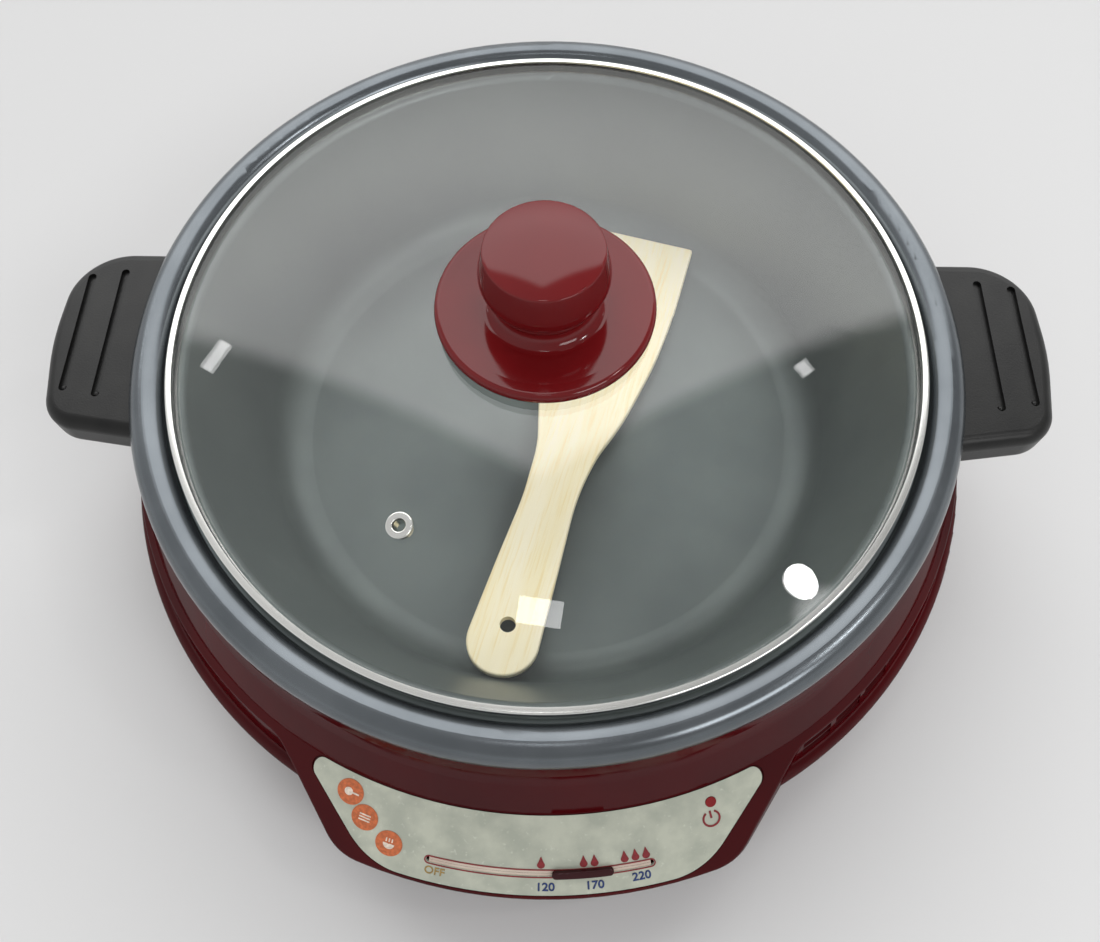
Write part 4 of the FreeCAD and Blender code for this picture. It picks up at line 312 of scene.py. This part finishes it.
def along_board(tree, feature, stretch):
    """Noise whose features are about this wide across the board and stretched along it."""
    turned = add(tree, "ShaderNodeMapping", {
        "Vector": object_place(tree), "Rotation": (0, 0, BOARD_ANGLE), "Scale": (stretch, 1, 1)},
        vector_type="TEXTURE")
    return noise(tree, feature, place=turned.outputs[0])


def pale_wood():
    material = new_material("sanded_pale_wood")
    tree = material.node_tree
    fibres = along_board(tree, 1.1 * MM, 30.0)
    broad = tone(tree, along_board(tree, 9 * MM, 14.0), "#faefc6", "#fdf5d6", 0.34, 0.66)
    fine = tone(tree, fibres, "#faf3de", "#ffffff", 0.3, 0.5)
    return finish(material, add(tree, "ShaderNodeBsdfPrincipled", {
        "Base Color": mixed_colour(tree, 1.0, broad, fine, "MULTIPLY"), "Roughness": 0.55, "IOR": 1.45,
        "Normal": bump(tree, fibres, 0.02 * MM)}))


wood = pale_wood()


def wire(name, dark, light):
    """Smooth soft insulation, and the sleeves and bulbs that look like it."""
    return satin_plastic(name, dark, light, 0.42, 2 * MM, 0.01 * MM)


brown_wire = wire("brown_pvc_insulation", "#44240f", "#53301a")
blue_wire = wire("blue_pvc_insulation", "#1c3f8f", "#264ca0")
earth_wire = wire("green_pvc_insulation", "#3f7a22", "#4c8b2c")
glass_sleeve = wire("glass_fibre_sleeve", "#cfc8b4", "#e0dac8")
neon_glass = wire("neon_lamp_glass", "#c9b8a4", "#ddccb8")

# %% [markdown]
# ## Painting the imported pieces
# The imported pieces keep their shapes. Each gets one finish in place of its plain one, from a table that
# lists the pieces under the finish they share, as a parts list does. What the table leaves out is
# printed.

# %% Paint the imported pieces
finishes = {
    housing_abs: ["upper_housing", "lower_housing"],
    knob_phenolic: ["knob_skirt", "knob_head"],
    slider_cap: ["slider_knob"],
    black_phenolic: ["handle_left", "handle_right"],
    black_moulding: ["inlet_socket", "lever_guide"],
    rubber: ["rubber_feet"],
    pan_coat: ["pan"],
    stainless: ["lid_band", "vent_eyelet", "vent_washer"],
    lid_glass: ["lid_glass"],
    silicone: ["lid_seal", "knob_gasket"],
    silver: ["control_panel"],
    lens_acrylic: ["pilot_lens"],
    neon_glass: ["pilot_lamp"],
    wood: ["spatula"],
    zinc: ["housing_screws", "reflector_screws", "plate_screws", "thermostat_screws", "inlet_screws",
           "guide_screws", "handle_screws", "knob_screw", "plate_posts", "thermostat_bracket", "fuse_clip",
           "handle_brackets", "lever_arm", "lever_clip", "thermostat_shaft", "knob_cup"],
    aluminised: ["heat_reflector"],
    cast_aluminium: ["heating_plate"],
    sheath: ["heating_element"],
    brass: ["element_terminals", "inlet_pins", "knob_insert"],
    steatite: ["thermostat"],
    glass_sleeve: ["thermal_fuse"],
    white_nylon: ["terminal_block"],
    brown_wire: ["live_lead", "thermostat_lead", "fuse_lead", "element_lead"],
    blue_wire: ["neutral_lead", "return_lead", "lamp_lead"],
    earth_wire: ["earth_lead"],
}
painted = set()
for material, names in finishes.items():
    for name in names:
        mesh = nodes[name].data
        mesh.materials.clear()
        mesh.materials.append(material)
        painted.add(name)
print("not painted:", sorted(set(nodes) - painted))

# %% [markdown]
# ## The lid's steel band
# A polished ring shows every facet, because a highlight runs along it. So the band is spun anew at a
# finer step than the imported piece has. Its section is a channel, open towards the glass: eight corner
# points make a flat face, the two outer corners are rounded by a bevel, and the outline is spun round the
# pot's axis.

# %% Steel band
BAND_R, BAND_LOW, BAND_HIGH = 151.5 * MM, 116.6 * MM, 125.0 * MM
BAND_SHEET, BAND_LIP, BAND_FOOT = 0.9 * MM, 2.6 * MM, 3.4 * MM
BAND_ROUNDING = 0.85 * MM
SPIN_STEPS = 256
SHARP_EDGE = math.radians(35)
SAME_POINT = 1e-6                     # points nearer to each other than this are merged


def new_piece(shape, name, material, body):
    """Makes an object of a bmesh, with its finish and the body that it rides on."""
    mesh = bpy.data.meshes.new(name)
    shape.to_mesh(mesh)
    shape.free()
    mesh.materials.append(material)
    piece = bpy.data.objects.new(name, mesh)
    bpy.context.scene.collection.objects.link(piece)
    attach(piece, body)
    print(name, "triangles:", sum(len(face.vertices) - 2 for face in mesh.polygons))
    return piece


def spun(section, name, material, body, replaced, rounded=(), radius=0.0, segments=1):
    """Spins a closed section round the pot's axis. rounded are the corners that get a radius."""
    shape = bmesh.new()
    corners = [shape.verts.new((r, 0, z)) for r, z in section]
    shape.faces.new(corners)
    if rounded:
        bmesh.ops.bevel(shape, geom=[corners[i] for i in rounded], offset=radius, segments=segments,
                        profile=0.5, affect="VERTICES", material=-1)
    bmesh.ops.delete(shape, geom=shape.faces[:], context="FACES_ONLY")
    bmesh.ops.spin(shape, geom=shape.verts[:] + shape.edges[:], cent=(0, 0, 0), axis=(0, 0, 1),
                   angle=2 * math.pi, steps=SPIN_STEPS, use_merge=True)
    bmesh.ops.remove_doubles(shape, verts=shape.verts[:], dist=SAME_POINT)
    bmesh.ops.recalc_face_normals(shape, faces=shape.faces[:])
    for face in shape.faces:
        face.smooth = True
    for edge in shape.edges:
        edge.smooth = edge.calc_face_angle(0.0) < SHARP_EDGE
    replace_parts(new_piece(shape, name, material, body), replaced)


band_section = [
    (BAND_R - BAND_FOOT, BAND_LOW), (BAND_R, BAND_LOW), (BAND_R, BAND_HIGH), (BAND_R - BAND_LIP, BAND_HIGH),
    (BAND_R - BAND_LIP, BAND_HIGH - BAND_SHEET), (BAND_R - BAND_SHEET, BAND_HIGH - BAND_SHEET),
    (BAND_R - BAND_SHEET, BAND_LOW + BAND_SHEET), (BAND_R - BAND_FOOT, BAND_LOW + BAND_SHEET)]
spun(band_section, "rolled_steel_band", stainless, "lid", "lid_band",
     rounded=(1, 2), radius=BAND_ROUNDING, segments=5)

# %% [markdown]
# ## Knob head
# The knob's head is a turned form too: a drum with swelling sides under a shallow dome, so that its top
# mirrors the bright ceiling at the back and the dim sky in front. Its foot hangs a little way down round
# the neck. Its outline is a list of points from the bore's edge round to the dome. The foot, the swell
# and the dome's edge are corners replaced by arcs, and the dome is one arc more.

# %% Knob head
HEAD_SEAT, HEAD_FOOT, HEAD_HIGH = 159.05 * MM, 153.8 * MM, 180.0 * MM
HEAD_TOP_R, DOME_RISE = 22.2 * MM, 3.0 * MM
DOME_SHORT = 1.0 * MM                 # how far inside the edge the dome ends, which leaves room to round it
FOOT_R, SWELL_R, SWELL_HEIGHT = 21.0 * MM, 25.0 * MM, 163.0 * MM
FOOT_ROUNDING, SWELL_ROUNDING, EDGE_ROUNDING = 0.6 * MM, 12.0 * MM, 0.9 * MM
NECK_CLEAR_R = 19.2 * MM              # just over the neck, which the head's foot hangs round
BORE_R, BORE_TOP = 4.3 * MM, 168.1 * MM
SPIGOT_R, SPIGOT_LOW = 9.0 * MM, 154.0 * MM


def arc_points(centre, radius, start, end, steps):
    """Points of an arc in the outline's plane, from one direction to another, in radians from +X."""
    turns = [start + (end - start) * i / steps for i in range(steps + 1)]
    return [(centre[0] + radius * math.cos(a), centre[1] + radius * math.sin(a)) for a in turns]


def rounded_corner(before, corner, after, radius, steps):
    """The arc that rounds one corner of an outline."""
    tip = Vector(corner)
    inward, outward = (Vector(before) - tip).normalized(), (Vector(after) - tip).normalized()
    half = inward.angle(outward) / 2
    centre = tip + (inward + outward).normalized() * radius / math.sin(half)
    first, last = (tip + way * radius / math.tan(half) - centre for way in (inward, outward))
    return arc_points(centre, radius, math.atan2(first.y, first.x), math.atan2(last.y, last.x), steps)


foot, swell = (FOOT_R, HEAD_FOOT), (SWELL_R, SWELL_HEIGHT)
shoulder = (HEAD_TOP_R, HEAD_HIGH - DOME_RISE)
dome_radius = (HEAD_TOP_R ** 2 + DOME_RISE ** 2) / (2 * DOME_RISE)
dome_edge = math.acos((HEAD_TOP_R - DOME_SHORT) / dome_radius)
dome = arc_points((0, HEAD_HIGH - dome_radius), dome_radius, dome_edge, math.pi / 2, 12)
head_section = (
    [(BORE_R, SPIGOT_LOW), (SPIGOT_R, SPIGOT_LOW), (SPIGOT_R, HEAD_SEAT), (NECK_CLEAR_R, HEAD_SEAT),
     (NECK_CLEAR_R, HEAD_FOOT)]
    + rounded_corner((NECK_CLEAR_R, HEAD_FOOT), foot, swell, FOOT_ROUNDING, 4)
    + rounded_corner(foot, swell, shoulder, SWELL_ROUNDING, 10)
    + rounded_corner(swell, shoulder, dome[0], EDGE_ROUNDING, 6)[:-1]
    + dome + [(0, BORE_TOP), (BORE_R, BORE_TOP)])
spun(head_section, "domed_knob_head", knob_phenolic, "lid", "knob_head")

# %% [markdown]
# ## Printing on a cone
# The panel is part of a cone round the pot's axis. Each print is drawn flat, as a thin raised film, with
# x along the arc and y up the slope, and then laid on the cone point by point. The cone is given by the
# radius and height of one circle on it and by its slope.

# %% The panel's cone
FACE_SLOPE = math.radians(37.9)
FACE_TOP_R, FACE_TOP_Z = 179 * MM, 75 * MM
SLOT_R = 198 * MM
PANEL_RISE = 0.24 * MM                # the panel sheet's face over the pod's cone
FILM = 0.12 * MM                      # a print's thickness, more than real ink's so that it never flickers


def on_panel(x, y, height, angle, radius):
    """A flat drawing's point laid on the panel. Its origin is angle degrees from the front, at radius."""
    r = radius - y * math.cos(FACE_SLOPE)
    azimuth = math.radians(angle - 90.0) + x / radius
    lift = PANEL_RISE + height
    z = FACE_TOP_Z - (r - FACE_TOP_R) * math.tan(FACE_SLOPE)
    out = Vector((math.cos(azimuth), math.sin(azimuth), 0))
    return out * (r + math.sin(FACE_SLOPE) * lift) + Vector((0, 0, z + math.cos(FACE_SLOPE) * lift))


def ink(name, colour):
    """Screen-printing ink: one colour with a little cloudiness where the screen left less of it."""
    material = new_material(name)
    tree = material.node_tree
    patchy = tone(tree, noise(tree, 1.2 * MM, 2.0), "#d0d0d0", "#ffffff", 0.3, 0.7)
    return finish(material, add(tree, "ShaderNodeBsdfPrincipled", {
        "Base Color": mixed_colour(tree, 1.0, colour, patchy, "MULTIPLY"), "Roughness": 0.45}))


def film(shape, name, material, angle, radius, layer=0):
    """Turns flat faces in a bmesh into a thin film on the panel, as an object of its own."""
    top = bmesh.ops.extrude_face_region(shape, geom=shape.faces[:])
    raised = [v for v in top["geom"] if isinstance(v, bmesh.types.BMVert)]
    bmesh.ops.translate(shape, vec=(0, 0, FILM), verts=raised)
    for vertex in shape.verts:
        height = vertex.co.z + layer * FILM
        vertex.co = on_panel(vertex.co.x, vertex.co.y, height, angle, radius)
    bmesh.ops.recalc_face_normals(shape, faces=shape.faces[:])
    new_piece(shape, name, material, "base")


red_ink = ink("dark_red_ink", "#8c1c24")
navy_ink = ink("navy_ink", "#1d3a78")
gold_ink = ink("gold_ink", "#b09050")
orange_ink = ink("orange_ink", "#d46f3c")
cream_ink = ink("cream_ink", "#f6e6d4")

# %% [markdown]
# ## The slot, with painted shade and painted light
# The lever comes up through a slot. Two pale strips in it, nearly meeting in the middle, are painted light
# for the slot's lit lower wall; a thin dark red line round it is painted shadow along its edges. A bar is a
# grid, cut fine enough to bend along the arc, and each half ring is one short edge spun through half a turn.

# %% Slot: painted shadow line and painted lit strips
SLOT_MIDDLE = 0.5                     # degrees from the front
SLOT_HALF_ARC = math.radians(12.2) * SLOT_R
SLOT_HALF_WIDTH = 1.2 * MM
# the dark red line round the slot is painted shadow along its edges
SHADOW_LINE_WIDTH, SHADOW_LINE_GAP = 0.5 * MM, 0.15 * MM
# the pale strips in the slot are painted light, standing for its lit lower wall
LIT_STRIP_MIDDLE, LIT_STRIP_HALF_WIDTH = 0.62 * MM, 0.56 * MM
LIT_STRIP_LAYER = -4                        # the painted lit strips lie below the panel's face by so many films
ARC_PIECES = 60                       # pieces of a bar as long as the slot


def bar(shape, x, y, half_length, half_width, pieces=1):
    """Adds a flat bar to a drawing."""
    place = Matrix.Translation((x, y, 0)) @ Matrix.Diagonal((half_length, half_width, 1, 1))
    bmesh.ops.create_grid(shape, x_segments=pieces, y_segments=1, size=1.0, matrix=place)


def arc_band(shape, inner, outer, start, turn, steps, cent=(0, 0, 0)):
    """Adds part of a flat ring to a drawing. start is its angle from +X and turn its sweep, in degrees."""
    way = Vector((math.cos(math.radians(start)), math.sin(math.radians(start)), 0))
    ends = [shape.verts.new(Vector(cent) + way * r) for r in (inner, outer)]
    edge = shape.edges.new(ends)
    bmesh.ops.spin(shape, geom=ends + [edge], cent=cent, axis=(0, 0, 1), angle=math.radians(turn),
                   steps=steps)


def slot_shadow_line(inner, line_width, half_length):
    """A flat line round a long slot, painted shadow along its edges: two bars and two half rings."""
    shape = bmesh.new()
    for side in (-1, 1):
        bar(shape, 0, side * (inner + line_width / 2), half_length, line_width / 2, ARC_PIECES)
        arc_band(shape, inner, inner + line_width, -90.0 * side, 180.0, 12, (side * half_length, 0, 0))
    bmesh.ops.remove_doubles(shape, verts=shape.verts[:], dist=SAME_POINT)
    return shape


# painted shadow: a dark red line that stands for the shade along the slot's edges
film(slot_shadow_line(SLOT_HALF_WIDTH + SHADOW_LINE_GAP, SHADOW_LINE_WIDTH, SLOT_HALF_ARC), "slot_shadow_line", red_ink,
     SLOT_MIDDLE, SLOT_R)
# painted light: pale strips that stand for the slot's lit lower wall
lit_wall_paint = satin_plastic("painted_lit_slot_wall", "#c9b6a8", "#d8cabb", 0.5, 4 * MM, 0.01 * MM)
for side, name in ((-1, "painted_light_strip_outer"), (1, "painted_light_strip_inner")):
    lit_strip = bmesh.new()
    bar(lit_strip, 0, side * LIT_STRIP_MIDDLE, SLOT_HALF_ARC, LIT_STRIP_HALF_WIDTH, ARC_PIECES)
    film(lit_strip, name, lit_wall_paint, SLOT_MIDDLE, SLOT_R, LIT_STRIP_LAYER)
print("slot outline half length, mm:", round(SLOT_HALF_ARC / MM, 1))

# %% [markdown]
# ## Numbers, drops and the power mark
# The scale reads in degrees: three numbers below the slot and one, two and three heat drops above it, and
# OFF at its cold end. The lettering is generic, made from a text curve that is turned into a mesh before
# it is laid on the cone. A drop is a circle whose topmost point is pulled up.

# %% Numbers and OFF
CAPITAL = 0.7                         # height of a capital or figure, as a part of the font's size
NUMBER_HEIGHT, NUMBER_WEIGHT = 3.4 * MM, 0.03
OFF_HEIGHT, OFF_WEIGHT = 3.2 * MM, 0.015
OFF_ANGLE, OFF_R = -10.9, 201.6 * MM
NUMBERS = (("120", 1.1, 202.6), ("170", 6.4, 202.6), ("220", 11.5, 201.8))    # text, degrees, radius in mm


def text_film(words, height, weight, name, material, angle, radius):
    """Prints words. height is a capital's, and weight tells how much bolder than the font the strokes are."""
    curve = bpy.data.curves.new(name, "FONT")
    curve.body = words
    curve.size = height / CAPITAL
    curve.align_x = "CENTER"
    curve.align_y = "CENTER"
    curve.offset = height * weight
    holder = bpy.data.objects.new(name + "_curve", curve)
    bpy.context.scene.collection.objects.link(holder)
    flat = bpy.data.meshes.new_from_object(holder.evaluated_get(bpy.context.evaluated_depsgraph_get()))
    bpy.data.objects.remove(holder)
    shape = bmesh.new()
    shape.from_mesh(flat)
    bmesh.ops.remove_doubles(shape, verts=shape.verts[:], dist=SAME_POINT)
    film(shape, name, material, angle, radius)


for number, angle, radius in NUMBERS:
    text_film(number, NUMBER_HEIGHT, NUMBER_WEIGHT, "number_" + number, navy_ink, angle, radius * MM)
text_film("OFF", OFF_HEIGHT, OFF_WEIGHT, "word_off", gold_ink, OFF_ANGLE, OFF_R)

# %% Drops
DROP_SIZE, DROP_PITCH = 3.6 * MM, 4.1 * MM
DROP_R = 194.6 * MM
DROP_GROUPS = ((1, 0.65), (2, 5.95), (3, 11.1))    # how many drops, degrees
BELLY, TAPER, TIP, LOWERED = 0.42, 0.55, 0.55, 0.15    # parts of a drop's size


def drop(size, x):
    """One heat drop: a circle with its top drawn out to a point."""
    shape = bmesh.new()
    made = bmesh.ops.create_circle(shape, segments=20, radius=size * BELLY, cap_ends=True)
    top = max(made["verts"], key=lambda v: v.co.y)
    for vertex in made["verts"]:
        share = max(0.0, vertex.co.y / (size * BELLY))
        vertex.co.x *= 1.0 - TAPER * share ** 1.5
        vertex.co.y += size * TIP * share ** 3
    top.co.x = 0.0
    bmesh.ops.translate(shape, vec=(x, -size * LOWERED, 0), verts=shape.verts[:])
    return shape


for count, angle in DROP_GROUPS:
    for i in range(count):
        shift = (i - (count - 1) / 2) * DROP_PITCH
        film(drop(DROP_SIZE, shift), f"drop_{count}_{i + 1}", red_ink, angle, DROP_R)

# %% Power mark
POWER_RADIUS, POWER_LINE = 3.2 * MM, 0.8 * MM
POWER_OPENING = 64.0                  # degrees left open at the ring's top
POWER_ANGLE, POWER_R = 20.4, 189.4 * MM


def power_mark(radius, width):
    """A ring open at the top and a bar through the opening."""
    shape = bmesh.new()
    arc_band(shape, radius - width / 2, radius + width / 2, 90 + POWER_OPENING / 2, 360 - POWER_OPENING, 32)
    bar(shape, 0, radius * 0.55, width / 2, radius * 0.5)
    return shape


film(power_mark(POWER_RADIUS, POWER_LINE), "power_mark", red_ink, POWER_ANGLE, POWER_R)

# %% [markdown]
# ## Three badges
# Orange discs down the left edge mark the ways of cooking. Each carries a simple cream pictogram: a
# frying pan, a grill and a steaming bowl, drawn from bars and parts of rings on a second layer.

# %% Badges
BADGE_RADIUS = 5.4 * MM
BADGES = (("frying", -22.31, 185.1), ("grilling", -19.83, 191.3), ("stewing", -16.43, 196.7))  # degrees, mm


def disc(shape, radius, x=0.0):
    """Adds a flat disc to a drawing."""
    place = Matrix.Translation((x, 0, 0))
    bmesh.ops.create_circle(shape, segments=40, radius=radius, cap_ends=True, matrix=place)


def frying_pictogram(shape):
    disc(shape, 1.7 * MM, -0.7 * MM)
    bar(shape, 2.2 * MM, 0.0, 1.4 * MM, 0.35 * MM)


def grilling_pictogram(shape):
    for row in (-1, 0, 1):
        bar(shape, 0, row * 1.2 * MM, 2.3 * MM, 0.28 * MM)


def stewing_pictogram(shape):
    arc_band(shape, 0.2 * MM, 2.3 * MM, 180.0, 180.0, 14)
    for column in (-1, 0, 1):
        bar(shape, column * 1.2 * MM, 1.5 * MM, 0.25 * MM, 0.8 * MM)


PICTOGRAMS = {"frying": frying_pictogram, "grilling": grilling_pictogram, "stewing": stewing_pictogram}
for name, angle, radius in BADGES:
    badge = bmesh.new()
    disc(badge, BADGE_RADIUS)
    film(badge, "badge_" + name, orange_ink, angle, radius * MM)
    picture = bmesh.new()
    PICTOGRAMS[name](picture)
    film(picture, "pictogram_" + name, cream_ink, angle, radius * MM, 1)

# %% [markdown]
# ## Studio
# The lid mirrors a third of the sky, so the sky is what it looks like. A big bright ceiling panel behind
# the pot puts a pale haze over the far half of the glass. Its two straight edges meet nearly overhead and
# show as a V on the dome; before them the sky is dim, and the pan shows clear. Towards the horizon the
# sky is pale all round, so that other views have a light background. It is all one world shader: a plane
# through the eye cuts the sky in a straight edge, and its side of the plane is the sign of a dot product.
# A dot product also tells how near a direction is to the round lamp, and makes a soft glow round it.

# %% Floor
FLOOR_HALF_SIDE = 20.0
floor_shape = bmesh.new()
bmesh.ops.create_grid(floor_shape, x_segments=1, y_segments=1, size=FLOOR_HALF_SIDE)
floor_mesh = bpy.data.meshes.new("floor")
floor_shape.to_mesh(floor_mesh)
floor_shape.free()
floor = bpy.data.objects.new("floor", floor_mesh)
bpy.context.scene.collection.objects.link(floor)


def floor_paint():
    material = new_material("pale_paper_floor")
    paper = {"Base Color": "#d4d4d4", "Roughness": 0.9}
    return finish(material, add(material.node_tree, "ShaderNodeBsdfPrincipled", paper))


floor_mesh.materials.append(floor_paint())

# %% World
CEILING_EDGES = ((0.478, 0.865, -0.153), (-0.547, 0.819, -0.174))    # normals of the planes of its two edges
EDGE_OUTSIDE, EDGE_INSIDE = -0.01, 0.05                               # how softly the ceiling begins
HAZE_AT_HORIZON, HAZE_OVERHEAD = 1.0, 2.8
HAZE_STARTS, HAZE_FULL = 0.2, 0.6                                     # heights in the sky, 0 to 1
SKY_AT_HORIZON, SKY_OVERHEAD_LEFT, SKY_OVERHEAD_RIGHT = 0.9, 0.7, 0.4
SKY_LEFT, SKY_RIGHT, SKY_STARTS, SKY_FULL = -0.6, 0.3, 0.08, 0.5
ROUND_LAMP = (0.546, -0.0577, 0.836)                                  # the way to the round lamp
GLOW_EDGE, GLOW_CORE, GLOW = 0.9964, 0.9997, 5.0                      # cosines, and the strength it adds
SOFT = "SMOOTHSTEP"


def along(tree, direction, way):
    """How far a direction goes along another way: their dot product."""
    return add(tree, "ShaderNodeVectorMath", {0: direction, 1: way}, operation="DOT_PRODUCT").outputs["Value"]


world = bpy.data.worlds.new("studio")
bpy.context.scene.world = world
world.use_nodes = True
world.node_tree.nodes.clear()
sky = world.node_tree
direction = add(sky, "ShaderNodeTexCoord").outputs["Generated"]
parts = add(sky, "ShaderNodeSeparateXYZ", {"Vector": direction})
height = parts.outputs["Z"]
overhead = between(sky, parts.outputs["X"], SKY_LEFT, SKY_RIGHT, SKY_OVERHEAD_LEFT, SKY_OVERHEAD_RIGHT)
dim = between(sky, height, SKY_STARTS, SKY_FULL, SKY_AT_HORIZON, overhead, interpolation_type=SOFT)
haze = between(sky, height, HAZE_STARTS, HAZE_FULL, HAZE_AT_HORIZON, HAZE_OVERHEAD, interpolation_type=SOFT)
ceiling = 1.0
for edge in CEILING_EDGES:
    side = along(sky, direction, edge)
    inside = between(sky, side, EDGE_OUTSIDE, EDGE_INSIDE, 0.0, 1.0, interpolation_type=SOFT)
    ceiling = add(sky, "ShaderNodeMath", {0: inside, 1: ceiling}, operation="MULTIPLY").outputs[0]
strength = add(sky, "ShaderNodeMix", {"Factor": ceiling, "A": dim, "B": haze}).outputs["Result"]
near_lamp = along(sky, direction, ROUND_LAMP)
glow = between(sky, near_lamp, GLOW_EDGE, GLOW_CORE, 0.0, GLOW, interpolation_type=SOFT)
brightness = add(sky, "ShaderNodeMath", {0: strength, 1: glow}, operation="ADD").outputs[0]
light = add(sky, "ShaderNodeBackground", {"Color": "#ffffff", "Strength": brightness})
add(sky, "ShaderNodeOutputWorld", {"Surface": light.outputs[0]})
print("world nodes:", len(sky.nodes))

# %% [markdown]
# ## Lamps
# A soft key light in front and to the right lights the wood, the panel and that side of the rim, from
# below the part of the sky that the lid mirrors. A small round lamp on the right is the bright spot on
# the glass, and three little windows give the lid its smaller glints. Each is placed by the direction in
# which the lid mirrors it.

# %% Lamps
LID_MIDDLE = Vector((0, 0, 0.12))


def lamp(name, direction, distance, width, height, radiance, shape="RECTANGLE"):
    """A soft lamp that looks at the lid's middle from this far, as bright per area as radiance says."""
    light = bpy.data.lights.new(name, "AREA")
    light.shape = shape
    light.size = width
    light.size_y = height
    area = width * height * (math.pi / 4 if shape == "DISK" else 1.0)
    light.energy = radiance * math.pi * area
    holder = bpy.data.objects.new(name, light)
    holder.location = LID_MIDDLE + Vector(direction).normalized() * distance
    holder.rotation_euler = (LID_MIDDLE - holder.location).to_track_quat("-Z", "Y").to_euler()
    bpy.context.scene.collection.objects.link(holder)
    print(name, "watts:", round(light.energy, 2))


lamp("key_light", (0.5, -0.53, 0.68), 1.5, 0.6, 0.36, 6.5)
lamp("round_lamp", (0.757, -0.08, 1.159), 1.39, 0.1, 0.1, 40.0, "DISK")
lamp("left_window", (-1.09, 0.667, 0.936), 1.58, 0.11, 0.05, 7.0)
lamp("right_window", (0.829, 0.662, 1.132), 1.55, 0.05, 0.05, 7.0)
lamp("overhead_window", (-0.03, -0.231, 1.407), 1.43, 0.15, 0.09, 6.0)

# %% [markdown]
# ## Camera
# The camera looks down on the pot from the front with a 31 mm lens. Its place and its three axes are
# given directly: right, up and backwards.

# %% Camera
FOCAL_LENGTH, SENSOR_WIDTH = 31.09, 36.0    # mm
CAMERA_PLACE = Vector((9.13, -210.60, 446.98)) * MM
camera_data = bpy.data.cameras.new("camera")
camera_data.lens = FOCAL_LENGTH
camera_data.sensor_width = SENSOR_WIDTH
camera = bpy.data.objects.new("camera", camera_data)
right = Vector((0.99970, 0.02288, -0.00824)).normalized()
back = Vector((0.01709, -0.41991, 0.90740)).normalized()
up = back.cross(right).normalized()
right = up.cross(back)
place = Matrix((right, up, back)).transposed().to_4x4()
place.translation = CAMERA_PLACE
camera.matrix_world = place
bpy.context.scene.collection.objects.link(camera)
bpy.context.scene.camera = camera
bpy.context.scene.view_settings.view_transform = "Standard"
print("camera height, m:", round(CAMERA_PLACE.z, 3))
